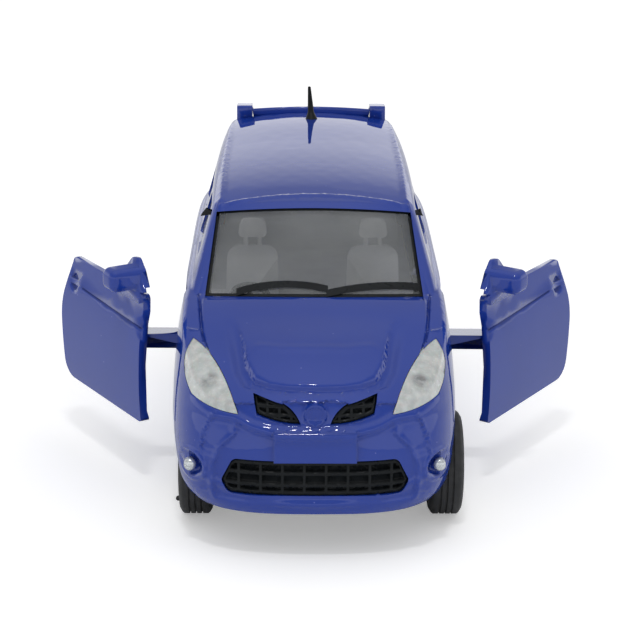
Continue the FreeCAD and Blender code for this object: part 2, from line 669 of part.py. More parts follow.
def involute_gear(teeth, x0, face, centre, turn, bore):
    """Spur gear along X with involute flanks."""
    pitch = gear_module * teeth / 2
    base = pitch * math.cos(math.radians(pressure_angle))
    tip = gear_tip(teeth)
    root = pitch - 1.1 * gear_module
    start = max(root + 0.02, base)

    def spread(radius):
        """Half the tooth's angle at a radius."""
        def unwound(r):
            angle = math.acos(min(base / r, 1.0))
            return math.tan(angle) - angle
        return math.pi / 2 / teeth - gear_backlash / pitch + unwound(pitch) - unwound(radius)

    outline = []
    for i in range(teeth):
        middle = turn + 2 * math.pi * i / teeth
        flank = [(root, spread(start) + 0.02), (start, spread(start)), (pitch, spread(pitch)), (tip, spread(tip))]
        sides = [(r, -a) for r, a in flank] + [(r, a) for r, a in reversed(flank)]
        for radius, angle in sides:
            outline.append(Vector(x0, centre[0] + radius * math.cos(middle + angle),
                                  centre[1] + radius * math.sin(middle + angle)))
    gear = Part.Face(Part.makePolygon(outline + [outline[0]])).extrude(Vector(face, 0, 0))
    return gear.cut(rod_x(x0 - 1, x0 + face + 1, centre[0], centre[1], bore)) if bore else gear


def meshed_turn(first, first_teeth, first_turn, second, second_teeth):
    """Turn of a second gear whose spaces take the first gear's teeth."""
    line = math.atan2(second[1] - first[1], second[0] - first[0])
    share = ((line - first_turn) / (2 * math.pi / first_teeth)) % 1.0
    return line + math.pi - (0.5 - share) * 2 * math.pi / second_teeth


def next_centre(start, teeth_a, teeth_b, direction):
    """Centre of a gear that meshes with one at start, in a direction in degrees."""
    distance = gear_module * (teeth_a + teeth_b) / 2 + centre_extra
    return (start[0] + distance * math.cos(math.radians(direction)),
            start[1] + distance * math.sin(math.radians(direction)))


def coil_strip(centre, inner_radius, pitch):
    """Flat spiral spring of half-turn arcs, drawn in the plane of the drum."""
    x = drum_x
    edges_in = []
    edges_out = []
    reach = inner_radius
    middle = centre[0]
    up = 1
    for i in range(2 * spring_turns):
        for edges, extra in ((edges_in, 0.0), (edges_out, spring_strip)):
            r = reach + extra
            edges.append(Part.Arc(Vector(x, middle - up * r, centre[1]), Vector(x, middle, centre[1] + up * r),
                                  Vector(x, middle + up * r, centre[1])).toShape())
        middle -= up * pitch / 4
        reach += pitch / 4
        up = -up
    return edges_in, edges_out


def make_mainspring(centre):
    """Wound steel strip around the spring gear's shaft."""
    inner, outer = coil_strip(centre, spring_shaft, (drum_radius - spring_shaft - 0.9) / spring_turns)
    start = Part.makeLine(inner[0].Vertexes[0].Point, outer[0].Vertexes[0].Point)
    end = Part.makeLine(inner[-1].Vertexes[-1].Point, outer[-1].Vertexes[-1].Point)
    wire = Part.Wire(Part.__sortEdges__(inner + outer + [start, end]))
    return Part.Face(wire).extrude(Vector(spring_width, 0, 0))


def case_half(x0, x1, cover_x, centres):
    """One half of the motor case: a tray with a cover wall and the gears' bores."""
    low = case_low
    high = case_high
    front = case_front
    rear = case_rear
    outside = side_plate([(front, low), (rear, low), (rear, high - 3.0), (rear - 4.0, high), (front, high)],
                         [2.5, 1.5, 1.0, 2.0, 2.5], x0, x1)
    w = case_wall
    cavity = side_plate([(front + w, low + w), (rear - w, low + w), (rear - w, high - 3.0 - w / 2),
                         (rear - 4.0 - w / 2, high - w), (front + w, high - w)],
                        [2.0, 1.0, 0.7, 1.5, 2.0], cover_x[0], cover_x[1])
    flange = box(x0, x1, front - 2.2, rear + 1.6, chassis_bottom + chassis_thickness,
                 chassis_bottom + chassis_thickness + 1.2)
    half = outside.fuse(flange).cut(cavity)
    bores = [rod_x(x0 - 1, x1 + 1, y, z, radius) for (y, z), radius in centres]
    return half.cut(bores)


# ---------------------------------------------------------------- chassis and inside
def footprint(inset, height):
    """Block under the body with the outline of its lower edge, inset by a distance."""
    z, width, front, rear, power_x, power_y = LOWER_SECTIONS[0]
    half = Part.BSplineCurve()
    half.interpolate(plan_points(0, width * body_half_width - inset, front * body_front - inset,
                                 rear * body_rear - inset, power_x, power_y))
    edge = half.toShape()
    return Part.Face(Part.Wire([edge, mirrored(edge)])).extrude(Vector(0, 0, height))


def make_chassis():
    """Black base plate with axle saddles, pin shelf, motor window and screw posts."""
    low = chassis_bottom
    top = chassis_bottom + chassis_thickness
    half = 18.6
    sill = 19.5
    plate = box(-half, half, -46, 53.5, low, top)
    rise = front_screw_y - boss_radius - 0.6
    nose = side_prism([(-46, low), (-46, top), (rise, sill_height - 0.4), (rise - 2.0, sill_height + 1.5),
                       (-55.0, sill_height + 1.5), (-55.0, sill_height), (rise - 2.1, sill_height)], -15.5, 15.5)
    nose = joined([nose, box(-15.5, 15.5, -47.0, -45.9, low, top)])
    tail = side_prism([(53.5, low), (53.5, top), (55.2, sill_height + 1.2), (56.0, sill_height + 1.2),
                       (56.0, sill_height - 0.6)], -14.5, 14.5)
    sills = [box(side * 18.8 - 0.7, side * 18.8 + 0.7, -26.5, 27.5, low, 10.2) for side in (1, -1)]
    floor = [box(-sill, sill, -26.5, 27.5, low, top)]
    wells = []
    for y, shift in ((front_axle_y, front_axle_shift), (rear_axle_y, 0.0)):
        for side in (1, -1):
            x = side * (tyre_outer_x - tyre_width - hub_reach - shift - side_float)
            wells.append(box(min(x, x + side * 8), max(x, x + side * 8), y - 9.6, y + 9.6, low - 1, top + 8))
    ribs = []
    slots = []
    for y, where in ((front_axle_y, (11.0, 13.0)), (rear_axle_y, (11.0, 13.0))):
        for side in (1, -1):
            x0, x1 = sorted((side * where[0], side * where[1]))
            ribs.append(box(x0, x1, y - 3.2, y + 3.2, low, wheel_radius + 2.4))
        slots.append(rod_x(-14, 14, y, wheel_radius, axle_radius + axle_clearance))
        slots.append(box(-14, 14, y - axle_radius - axle_clearance, y + axle_radius + axle_clearance,
                         wheel_radius, wheel_radius + 3))
    posts = [rod_z(0, y, low, sill_height - seat_gap + (1.0 if y > 0 else 0.0), boss_radius)
             for y in (front_screw_y, rear_screw_y)]
    chassis = joined([plate, nose, tail] + floor + sills + ribs + posts).cut(wells + slots)
    chassis = chassis.common(footprint(wall + seat_gap, 20))
    window = box(case_x0 - 0.3, case_x1 + 0.3, case_front - 0.3, case_rear + 0.3, low - 1, top + 0.01)
    holes = [rod_z(0, y, 0, 12, screw_radius + 0.1) for y in (front_screw_y, rear_screw_y)]
    sinks = [rod_z(0, y, low - 1, low + 1.1, 2.0) for y in (front_screw_y, rear_screw_y)]
    return chassis.cut([window] + holes + sinks)


def make_screws():
    """Two cross-head screws that hold the chassis to the body."""
    screws = []
    for y in (front_screw_y, rear_screw_y):
        screw = rod_z(0, y, chassis_bottom + 0.1, chassis_bottom + 1.1, 1.85).fuse(
            rod_z(0, y, chassis_bottom + 1.0, 14.0, screw_radius))
        cross = [box(-1.2, 1.2, y - 0.2, y + 0.2, 0, chassis_bottom + 0.7),
                 box(-0.2, 0.2, y - 1.2, y + 1.2, 0, chassis_bottom + 0.7)]
        screws.append(screw.cut(cross).removeSplitter())
    return screws


def make_interior():
    """Grey moulding: stepped floor, hinge shelf, dashboard, front seats and rear bench."""
    t = floor_thickness
    shelf = arm_bottom_z - 3.2
    half = 18.0
    profile = [(-43.0, shelf), (-43.0, shelf + t), (-27.6 + t, shelf + t), (-27.6 + t, floor_z + t),
               (5.0 - t, floor_z + t), (5.0 - t, rear_floor_z + t), (47.5, rear_floor_z + t),
               (47.5, rear_floor_z), (5.0, rear_floor_z), (5.0, floor_z), (-27.6, floor_z), (-27.6, shelf)]
    tub = side_prism(profile, -half, half)
    wings = [box(side * 19.2 - 1.4, side * 19.2 + 1.4, hinge_y - 2.2, hinge_y + 2.2, shelf, shelf + t)
             for side in (1, -1)]
    pieces = [tub] + wings
    for side in (1, -1):
        pieces.append(rod_z(side * hinge_x, hinge_y, shelf, arm_bottom_z - seat_gap, hinge_boss))
        pieces.append(side_plate([(-12.0, floor_z + t - 0.3), (0.8, floor_z + t - 0.3), (0.8, 18.0), (-12.6, 19.6)],
                                 [0.8, 0.8, 0.8, 1.4], side * seat_x - seat_width / 2, side * seat_x + seat_width / 2))
        pieces.append(seat_back(side * seat_x, -0.6, 16.5, 33.4))
    pieces.append(side_prism([(30.0, rear_floor_z), (42.6, rear_floor_z), (42.6, 28.8), (30.0, 29.0)], -16.5, 16.5))
    for x in (-8.4, 8.4):
        pieces.append(seat_back(x, 40.0, 27.0, 36.6))
    dash_block = box(-6.6, 6.6, -33.5, -25.0, shelf + t - 0.3, 27.6)
    dash_top = side_plate([(-33.0, 26.6), (-23.0, 26.6), (-22.2, 29.0), (-25.0, 31.0), (-33.0, 31.0)],
                          [0.5, 0.8, 0.8, 1.0, 0.5], -16.6, 16.6)
    pieces += [dash_block, dash_top]
    tub = joined(pieces)
    holes = [rod_z(side * hinge_x, hinge_y, arm_bottom_z - seat_gap - 2.0, 30, pin_radius) for side in (1, -1)]
    return tub.cut(holes + [steering_axis_cut()])


def seat_back(x, y, low, high):
    """Leaning backrest with a headrest on two posts."""
    half = seat_width / 2
    back = front_plate([(x - half, low), (x + half, low), (x + half - 0.5, high), (x - half + 0.5, high)],
                       [0.8, 0.8, 2.2, 2.2], y, y + 2.4)
    post_a = rod_z(x - 1.2, y + 1.2, high - 1.0, high + 2.6, 0.4)
    post_b = rod_z(x + 1.2, y + 1.2, high - 1.0, high + 2.6, 0.4)
    rest = front_plate([(x - 2.6, high + 1.5), (x + 2.6, high + 1.5), (x + 2.1, high + 4.9), (x - 2.1, high + 4.9)],
                       [0.8, 0.8, 1.2, 1.2], y + 0.1, y + 2.2)
    seat = joined([back, post_a, post_b, rest])
    seat.rotate(Vector(x, y, low), Vector(1, 0, 0), -8)
    return seat


STEER_PLACE = Vector(-seat_x, -23.2, 28.8)
STEER_AXIS = Vector(0, 0.88, 0.475)


def steering_axis_cut():
    """Socket for the steering wheel's stalk in the dashboard."""
    return Part.makeCylinder(0.6, 3.0, STEER_PLACE - STEER_AXIS * 2.0, STEER_AXIS)


def make_steering_wheel():
    """Three-spoke steering wheel with its stalk."""
    centre = STEER_PLACE + STEER_AXIS * 3.4
    half = steering_bar / 2
    ring = Part.makeCylinder(steering_ring + half, steering_bar, centre - STEER_AXIS * half, STEER_AXIS)
    ring = ring.cut(Part.makeCylinder(steering_ring - half, steering_bar, centre - STEER_AXIS * half, STEER_AXIS))
    hub = Part.makeCylinder(0.95, steering_bar, centre - STEER_AXIS * half, STEER_AXIS)
    stalk = Part.makeCylinder(0.6, 5.2, STEER_PLACE - STEER_AXIS * 2.0, STEER_AXIS)
    across = Vector(1, 0, 0)
    down = across.cross(STEER_AXIS)
    spokes = []
    for direction in (across, across * -1, down):
        sideways = direction.cross(STEER_AXIS)
        corners = [centre + direction * reach + sideways * width - STEER_AXIS * 0.25
                   for reach, width in ((0.5, -0.35), (steering_ring, -0.35), (steering_ring, 0.35), (0.5, 0.35))]
        spokes.append(prism([tuple(corner) for corner in corners], tuple(STEER_AXIS * 0.5)))
    return joined([ring, hub, stalk] + spokes)


# ---------------------------------------------------------------- build
FORMS = {}
for inset in (0.0, groove_depth, bar_inset, wall, liner_inset):
    FORMS[inset] = {'lower': lower_form(inset), 'cabin': cabin_form(inset)}

rear_axle = (rear_axle_y, wheel_radius)
idler_centre = next_centre(rear_axle, axle_teeth, idler_teeth, 90.0)
step_centre = next_centre(idler_centre, idler_teeth, step_teeth, 183.1)
spring_centre = next_centre(step_centre, step_pinion_teeth, spring_teeth, 188.0)
case_front = spring_centre[0] - gear_tip(spring_teeth) - case_gap - case_wall
case_rear = idler_centre[0] + gear_tip(idler_teeth) + case_gap + case_wall
case_low = spring_centre[1] - gear_module * spring_teeth / 2 - 1.9
case_high = step_centre[1] + gear_module * step_teeth / 2 + 2.0
case_x0 = drum_x - side_float - case_wall
case_x1 = plane_two_x + gear_face + side_float + case_wall

axle_turn = 0.0
idler_turn = meshed_turn(rear_axle, axle_teeth, axle_turn, idler_centre, idler_teeth)
step_turn = meshed_turn(idler_centre, idler_teeth, idler_turn, step_centre, step_teeth)
spring_turn = meshed_turn(step_centre, step_pinion_teeth, step_turn, spring_centre, spring_teeth)

left_door = make_left_door()
PARTS['body_shell'] = make_body_shell()
PARTS['door_left'] = turned(left_door, open_angle_left)
PARTS['door_right'] = mirrored(turned(left_door, open_angle_right))
PARTS['door_pins'] = make_door_pins()
PARTS.update(make_panes())
PARTS['wipers'] = make_wipers()
headlight = skin(headlight_block(0), 'lower', 0.0, wall)
PARTS['headlight_left'] = headlight
PARTS['headlight_right'] = mirrored(headlight)
tail_lamp = skin(tail_lamp_block(0), 'lower', 0.0, wall)
PARTS['tail_lamp_left'] = tail_lamp
PARTS['tail_lamp_right'] = mirrored(tail_lamp)
PARTS['upper_grille'] = make_upper_grille()
PARTS['lower_grille'] = make_lower_grille()
PARTS['fog_lamps'] = make_fog_lamps()
PARTS['rear_spoiler'] = make_spoiler()
PARTS['antenna'] = make_antenna()
tyre = make_tyre()
rim = make_rim()
for end_name, axle_y, shift in (('front', front_axle_y, front_axle_shift), ('rear', rear_axle_y, 0.0)):
    for side_name, side in (('left', 1), ('right', -1)):
        PARTS['tyre_' + end_name + '_' + side_name] = placed_wheel(tyre, axle_y, side, shift)
        PARTS['rim_' + end_name + '_' + side_name] = placed_wheel(rim, axle_y, side, shift)
    PARTS[end_name + '_axle'] = make_axle(axle_y, shift)

PARTS['axle_pinion'] = involute_gear(axle_teeth, plane_two_x, gear_face, rear_axle, axle_turn, axle_radius)
PARTS['idler_gear'] = involute_gear(idler_teeth, plane_two_x, gear_face, idler_centre, idler_turn,
                                    pin_radius + pin_clearance)
step_bore = rod_x(-5, 5, step_centre[0], step_centre[1], pin_radius + pin_clearance)
PARTS['step_gear'] = joined([
    involute_gear(step_teeth, plane_two_x, gear_face, step_centre, step_turn, 0),
    involute_gear(step_pinion_teeth, plane_one_x, gear_face, step_centre, step_turn, 0),
    rod_x(plane_one_x + gear_face - 0.1, plane_two_x + 0.1, step_centre[0], step_centre[1], 2.0)]).cut(step_bore)
PARTS['spring_gear'] = joined([
    involute_gear(spring_teeth, plane_one_x, gear_face, spring_centre, spring_turn, 0),
    rod_x(case_x0 + 0.1, plane_one_x + 0.1, spring_centre[0], spring_centre[1], spring_shaft),
    rod_x(plane_one_x + gear_face - 0.1, case_x1 - 0.1, spring_centre[0], spring_centre[1], spring_shaft)])
PARTS['mainspring'] = make_mainspring(spring_centre)
PARTS['step_gear_pin'] = rod_x(case_x0, case_x1, step_centre[0], step_centre[1], pin_radius)
PARTS['idler_pin'] = rod_x(case_x0, case_x1, idler_centre[0], idler_centre[1], pin_radius)
bearings = ((rear_axle, axle_radius + axle_clearance), (idler_centre, pin_radius), (step_centre, pin_radius),
            (spring_centre, spring_shaft + axle_clearance))
PARTS['motor_case_left'] = case_half(case_split, case_x1, (case_split - 1, case_x1 - case_wall), bearings)
PARTS['motor_case_right'] = case_half(case_x0, case_split, (case_x0 + case_wall, case_split + 1), bearings)
PARTS['chassis'] = make_chassis()
PARTS['chassis_screws'] = make_screws()
PARTS['interior'] = make_interior()
PARTS['steering_wheel'] = make_steering_wheel()

os.makedirs("parts", exist_ok=True)
for name, shape in PARTS.items():
    if isinstance(shape, list):
        shape = Part.makeCompound(shape)
    shape.exportStep("parts/" + name + ".step")
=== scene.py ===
"""Finish and fine shape of a die-cast pull back car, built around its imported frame.

The nose points along -Y, +Z is up and the wheels stand on z = 0. Sizes are written in
millimetres and turned into metres where they meet the meshes.
"""
import json
import logging
import math
from dataclasses import dataclass
from enum import Enum
from typing import Callable, Iterable, Sequence

import bmesh
import bpy
from mathutils import Matrix, Vector, noise

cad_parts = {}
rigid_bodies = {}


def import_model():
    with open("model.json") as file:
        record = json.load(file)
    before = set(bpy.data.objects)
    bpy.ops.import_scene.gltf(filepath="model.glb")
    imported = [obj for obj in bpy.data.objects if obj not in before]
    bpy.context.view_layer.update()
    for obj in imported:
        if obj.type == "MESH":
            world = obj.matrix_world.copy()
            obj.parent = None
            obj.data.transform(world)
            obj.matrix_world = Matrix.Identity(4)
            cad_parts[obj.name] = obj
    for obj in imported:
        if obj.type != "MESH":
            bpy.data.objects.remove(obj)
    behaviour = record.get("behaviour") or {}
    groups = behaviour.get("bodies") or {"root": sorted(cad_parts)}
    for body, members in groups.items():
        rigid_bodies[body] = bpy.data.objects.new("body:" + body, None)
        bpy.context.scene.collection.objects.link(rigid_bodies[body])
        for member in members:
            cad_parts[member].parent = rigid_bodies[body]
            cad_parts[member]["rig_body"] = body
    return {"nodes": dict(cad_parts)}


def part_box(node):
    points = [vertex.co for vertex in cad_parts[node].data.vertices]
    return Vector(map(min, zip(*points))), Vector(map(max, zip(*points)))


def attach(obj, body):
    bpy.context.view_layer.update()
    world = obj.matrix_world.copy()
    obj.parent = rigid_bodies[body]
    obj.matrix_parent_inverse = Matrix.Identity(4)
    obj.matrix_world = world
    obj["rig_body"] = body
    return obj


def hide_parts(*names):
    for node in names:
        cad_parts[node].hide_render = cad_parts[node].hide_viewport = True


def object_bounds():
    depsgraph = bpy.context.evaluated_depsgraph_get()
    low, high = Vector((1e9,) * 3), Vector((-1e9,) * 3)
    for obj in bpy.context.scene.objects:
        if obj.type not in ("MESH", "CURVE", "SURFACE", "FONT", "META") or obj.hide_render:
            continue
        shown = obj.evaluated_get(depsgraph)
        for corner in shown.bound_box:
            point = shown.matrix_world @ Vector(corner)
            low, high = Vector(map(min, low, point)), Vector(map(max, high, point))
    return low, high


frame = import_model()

CAD_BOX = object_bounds()
MM = 0.001
JOIN = 0.002 * MM  # corners nearer than this count as one
SNAP = 0.001 * MM  # a cut this near a corner goes through it
NOISE_LOW, NOISE_HIGH = 0.3, 0.7  # soft noise mostly keeps between these
LOG = logging.getLogger("pull_back_car")

Colour = tuple[float, float, float]
Stops = Sequence[tuple[float, Colour]]
Line = tuple[tuple[float, float], ...]


class Slot(Enum):
    """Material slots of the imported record."""

    PAINT = "blue_paint"
    WINDOW = "clear_window"
    LENS = "lamp_lens"
    TAIL = "tail_red"
    SILVER = "lamp_silver"
    TRIM = "black_trim"
    CHASSIS = "chassis_black"
    CABIN = "cabin_grey"
    TYRE = "tyre_rubber"
    RIM = "rim_silver"
    STEEL = "steel"
    SPRING = "spring_steel"
    GEAR = "gear_white"
    CASE = "case_white"


class Side(Enum):
    """Sides of the car, with the sign of X."""

    LEFT = 1
    RIGHT = -1

    @property
    def word(self) -> str:
        """Name of the side as the nodes use it."""
        return self.name.lower()


# ---------------------------------------------------------------- small tools
def smooth_step(low: float, high: float, value: float) -> float:
    """Rises smoothly from 0 at low to 1 at high.

    Args:
        low: value at which the rise starts.
        high: value at which it ends; it may lie under low for a fall.
        value: place to read.

    Returns:
        The height of the step there.
    """
    share = min(max((value - low) / (high - low), 0.0), 1.0)
    return share * share * (3.0 - 2.0 * share)


def ridge(distance: float, width: float) -> float:
    """Rounded bump across a line.

    Args:
        distance: distance from the line.
        width: half width of the bump.

    Returns:
        1 on the line, falling to 0 at the width.
    """
    return 1.0 - smooth_step(0.0, width, abs(distance))


def between(points: Sequence[tuple[float, float]], place: float) -> float:
    """Reads a line of straight pieces.

    Args:
        points: (place, value) pairs in rising order.
        place: where to read.

    Returns:
        The value on the piece there, or that of the nearest end.
    """
    if place <= points[0][0]:
        return points[0][1]
    for (start, first), (stop, last) in zip(points, points[1:]):
        if place <= stop:
            return first + (last - first) * (place - start) / (stop - start)
    return points[-1][1]


def off_line(points: Sequence[tuple[float, float]], across: float, along: float) -> float:
    """Distance from a line of straight pieces.

    Args:
        points: corners of the line.
        across: first coordinate of the place.
        along: second coordinate of the place.

    Returns:
        The shortest distance, in the unit of the points.
    """
    place = Vector((across, along))
    shortest = math.inf
    for start, stop in zip(points, points[1:]):
        first, step = Vector(start), Vector(stop) - Vector(start)
        share = min(max((place - first).dot(step) / step.length_squared, 0.0), 1.0)
        shortest = min(shortest, (place - first - step * share).length)
    return shortest


# ---------------------------------------------------------------- finishes
class Wiring:
    """Lays out the nodes of one procedural material."""

    SPECK_CORE = 0.6

    def __init__(self, name: str) -> None:
        """Starts a material with one principled shader and object coordinates."""
        self.material = bpy.data.materials.new(name)
        self.material.use_nodes = True
        self.tree = self.material.node_tree
        self.shader = self.tree.nodes["Principled BSDF"]
        self.coords = self.tree.nodes.new("ShaderNodeTexCoord").outputs["Object"]

    def add(self, kind: str, **settings: object) -> bpy.types.Node:
        """Adds a node.

        Args:
            kind: type name of the node.
            settings: properties to set on it.

        Returns:
            The new node.
        """
        node = self.tree.nodes.new(kind)
        for key, value in settings.items():
            setattr(node, key, value)
        return node

    def link(self, output: bpy.types.NodeSocket, socket: bpy.types.NodeSocket) -> None:
        """Joins an output to a socket.

        Args:
            output: where the value comes from.
            socket: where it goes.
        """
        self.tree.links.new(output, socket)

    def noise(self, size: float, detail: float = 3.0) -> bpy.types.NodeSocket:
        """Soft noise.

        Args:
            size: size of its patches in mm.
            detail: octaves of finer noise.

        Returns:
            The noise value.
        """
        node = self.add("ShaderNodeTexNoise")
        node.inputs["Scale"].default_value = 1.0 / (size * MM)
        node.inputs["Detail"].default_value = detail
        self.link(self.coords, node.inputs["Vector"])
        return node.outputs["Fac"]

    def specks(self, spacing: float, radius: float) -> bpy.types.NodeSocket:
        """Sparse round specks.

        Args:
            spacing: distance between specks in mm.
            radius: radius of a speck as a share of the spacing.

        Returns:
            1 inside a speck and 0 outside.
        """
        cells = self.add("ShaderNodeTexVoronoi")
        cells.inputs["Scale"].default_value = 1.0 / (spacing * MM)
        self.link(self.coords, cells.inputs["Vector"])
        core = radius * self.SPECK_CORE
        return self.ramp(cells.outputs["Distance"], ((core, (1, 1, 1)), (radius, (0, 0, 0))))

    def ramp(self, factor: bpy.types.NodeSocket, stops: Stops) -> bpy.types.NodeSocket:
        """Turns a value into a colour.

        Args:
            factor: value to read.
            stops: (place, colour) pairs.

        Returns:
            The colour.
        """
        node = self.add("ShaderNodeValToRGB")
        elements = node.color_ramp.elements
        while len(elements) < len(stops):
            elements.new(0.5)
        for element, (place, colour) in zip(elements, stops):
            element.position = place
            element.color = (*colour, 1.0)
        self.link(factor, node.inputs["Fac"])
        return node.outputs["Color"]

    def blend(self, factor: bpy.types.NodeSocket, under: bpy.types.NodeSocket,
              over: Colour) -> bpy.types.NodeSocket:
        """Lays a colour over another by a mask.

        Args:
            factor: mask.
            under: colour below.
            over: colour on top.

        Returns:
            The mixed colour.
        """
        node = self.add("ShaderNodeMix", data_type="RGBA")
        self.link(factor, node.inputs["Factor"])
        self.link(under, node.inputs["A"])
        node.inputs["B"].default_value = (*over, 1.0)
        return node.outputs["Result"]

    def radius_from(self, centre: Vector) -> bpy.types.NodeSocket:
        """Distance from a point.

        Args:
            centre: point in metres.

        Returns:
            The distance in metres.
        """
        away = self.add("ShaderNodeVectorMath", operation="SUBTRACT")
        self.link(self.coords, away.inputs[0])
        away.inputs[1].default_value = centre
        length = self.add("ShaderNodeVectorMath", operation="LENGTH")
        self.link(away.outputs["Vector"], length.inputs[0])
        return length.outputs["Value"]

    def scaled(self, value: bpy.types.NodeSocket, low: float, high: float, start: float,
               stop: float) -> bpy.types.NodeSocket:
        """Maps a value from one range to another.

        Args:
            value: value to map.
            low: start of its range.
            high: end of its range.
            start: result at the start.
            stop: result at the end.

        Returns:
            The mapped value, kept inside the new range.
        """
        node = self.add("ShaderNodeMapRange")
        self.link(value, node.inputs["Value"])
        for name, number in (("From Min", low), ("From Max", high), ("To Min", start), ("To Max", stop)):
            node.inputs[name].default_value = number
        return node.outputs["Result"]

    def bump(self, height: bpy.types.NodeSocket, depth: float) -> None:
        """Raises the surface by a height value.

        Args:
            height: value from 0 to 1.
            depth: height of 1 in mm.
        """
        node = self.add("ShaderNodeBump")
        node.inputs["Distance"].default_value = depth * MM
        self.link(height, node.inputs["Height"])
        self.link(node.outputs["Normal"], self.shader.inputs["Normal"])

    def constant(self, **values: float) -> None:
        """Sets sockets of the shader.

        Args:
            values: number for each socket, named with underscores for spaces.
        """
        for name, value in values.items():
            self.shader.inputs[name.replace("_", " ")].default_value = value


@dataclass(frozen=True)
class Moulding:
    """Plain moulded, drawn or pressed material with a mottled colour and a fine grain.

    Sizes are in mm.
    """

    name: str
    colour: Colour
    shade: Colour
    roughness: float = 0.4
    spread: float = 0.1
    patch: float = 7.0
    grain: float = 0.45
    depth: float = 0.01
    metallic: float = 0.0
    coat: float = 0.0
    specular: float = 0.5
    worn_share: float = 0.4
    worn_detail: float = 5.0
    grain_detail: float = 2.0
    smoothest: float = 0.02

    def wiring(self) -> Wiring:
        """Common part of the material.

        Returns:
            The wiring with colour, roughness and grain in place.
        """
        wires = Wiring(self.name)
        mottle = wires.noise(self.patch)
        colour = wires.ramp(mottle, ((NOISE_LOW, self.colour), (NOISE_HIGH, self.shade)))
        wires.link(colour, wires.shader.inputs["Base Color"])
        worn = wires.noise(self.patch * self.worn_share, self.worn_detail)
        low = max(self.roughness - self.spread, self.smoothest)
        wires.link(wires.scaled(worn, NOISE_LOW, NOISE_HIGH, low, self.roughness + self.spread),
                   wires.shader.inputs["Roughness"])
        wires.bump(wires.noise(self.grain, self.grain_detail), self.depth)
        wires.constant(Metallic=self.metallic, Coat_Weight=self.coat, Specular_IOR_Level=self.specular)
        return wires

    def material(self) -> bpy.types.Material:
        """The finished material."""
        return self.wiring().material


@dataclass(frozen=True)
class Enamel(Moulding):
    """Stoved gloss enamel over die-cast metal, with a soft orange peel and a few dust specks."""

    speck: Colour = (0.09, 0.12, 0.42)
    speck_spacing: float = 3.1
    speck_radius: float = 0.045
    coat_roughness: float = 0.03
    coat_ior: float = 1.5

    def material(self) -> bpy.types.Material:
        """The finished material."""
        wires = self.wiring()
        under = wires.shader.inputs["Base Color"].links[0].from_socket
        specks = wires.specks(self.speck_spacing, self.speck_radius)
        wires.link(wires.blend(specks, under, self.speck), wires.shader.inputs["Base Color"])
        wires.constant(Coat_Roughness=self.coat_roughness, Coat_IOR=self.coat_ior)
        return wires.material


@dataclass(frozen=True)
class Glazing(Moulding):
    """Clear grey polystyrene pane with a slight haze."""

    alpha: float = 0.26
    clearer: float = 0.05
    milkier: float = 0.06
    haze: float = 14.0
    ior: float = 1.5
    coat_roughness: float = 0.04

    def material(self) -> bpy.types.Material:
        """The finished material."""
        wires = self.wiring()
        haze = wires.scaled(wires.noise(self.haze, 1.0), NOISE_LOW, NOISE_HIGH, self.alpha - self.clearer,
                            self.alpha + self.milkier)
        wires.link(haze, wires.shader.inputs["Alpha"])
        wires.constant(IOR=self.ior, Coat_Roughness=self.coat_roughness)
        return wires.material


@dataclass(frozen=True)
class LampLens(Moulding):
    """Milky lamp lens with faint rings round a dark bulb."""

    centre: tuple[float, float, float] = (0.0, 0.0, 0.0)
    bulb: Colour = (0.12, 0.13, 0.14)
    bulb_core: float = 0.65
    bulb_radius: float = 1.69
    bulb_share: float = 0.85
    ring: Colour = (0.33, 0.36, 0.36)
    ring_pitch: float = 1.3
    ring_share: float = 0.22
    smear: Colour = (0.72, 0.74, 0.73)
    smear_size: float = 1.6
    smear_detail: float = 4.0
    smear_span: tuple[float, float] = (0.45, 0.75)
    smear_share: float = 0.5
    coat_roughness: float = 0.05
    depth_share: float = 0.25
    depth_reach: float = 2.0

    def material(self) -> bpy.types.Material:
        """The finished material."""
        wires = self.wiring()
        under = wires.shader.inputs["Base Color"].links[0].from_socket
        distance = wires.radius_from(Vector(self.centre))
        dark = wires.scaled(distance, self.bulb_core * MM, self.bulb_radius * MM, self.bulb_share, 0.0)
        colour = wires.blend(dark, under, self.bulb)
        rings = wires.add("ShaderNodeMath", operation="PINGPONG")
        wires.link(distance, rings.inputs[0])
        rings.inputs[1].default_value = self.ring_pitch * MM
        faint = wires.scaled(rings.outputs[0], 0.0, self.ring_pitch * MM, 0.0, self.ring_share)
        colour = wires.blend(faint, colour, self.ring)
        smeared = wires.noise(self.smear_size, self.smear_detail)
        milky = wires.scaled(smeared, *self.smear_span, 0.0, self.smear_share)
        colour = wires.blend(milky, colour, self.smear)
        wires.link(colour, wires.shader.inputs["Base Color"])
        wires.constant(Coat_Roughness=self.coat_roughness, Subsurface_Weight=self.depth_share,
                       Subsurface_Scale=self.depth_reach * MM)
        return wires.material


@dataclass(frozen=True)
class Floor(Moulding):
    """Pale seamless paper under the car, lifted a little towards white where it is seen directly."""

    glow: float = 0.3

    def material(self) -> bpy.types.Material:
        """The finished material."""
        wires = self.wiring()
        seen = wires.add("ShaderNodeLightPath").outputs["Is Camera Ray"]
        wires.link(wires.scaled(seen, 0.0, 1.0, 0.0, self.glow), wires.shader.inputs["Emission Strength"])
        wires.shader.inputs["Emission Color"].default_value = (1.0, 1.0, 1.0, 1.0)
        return wires.material


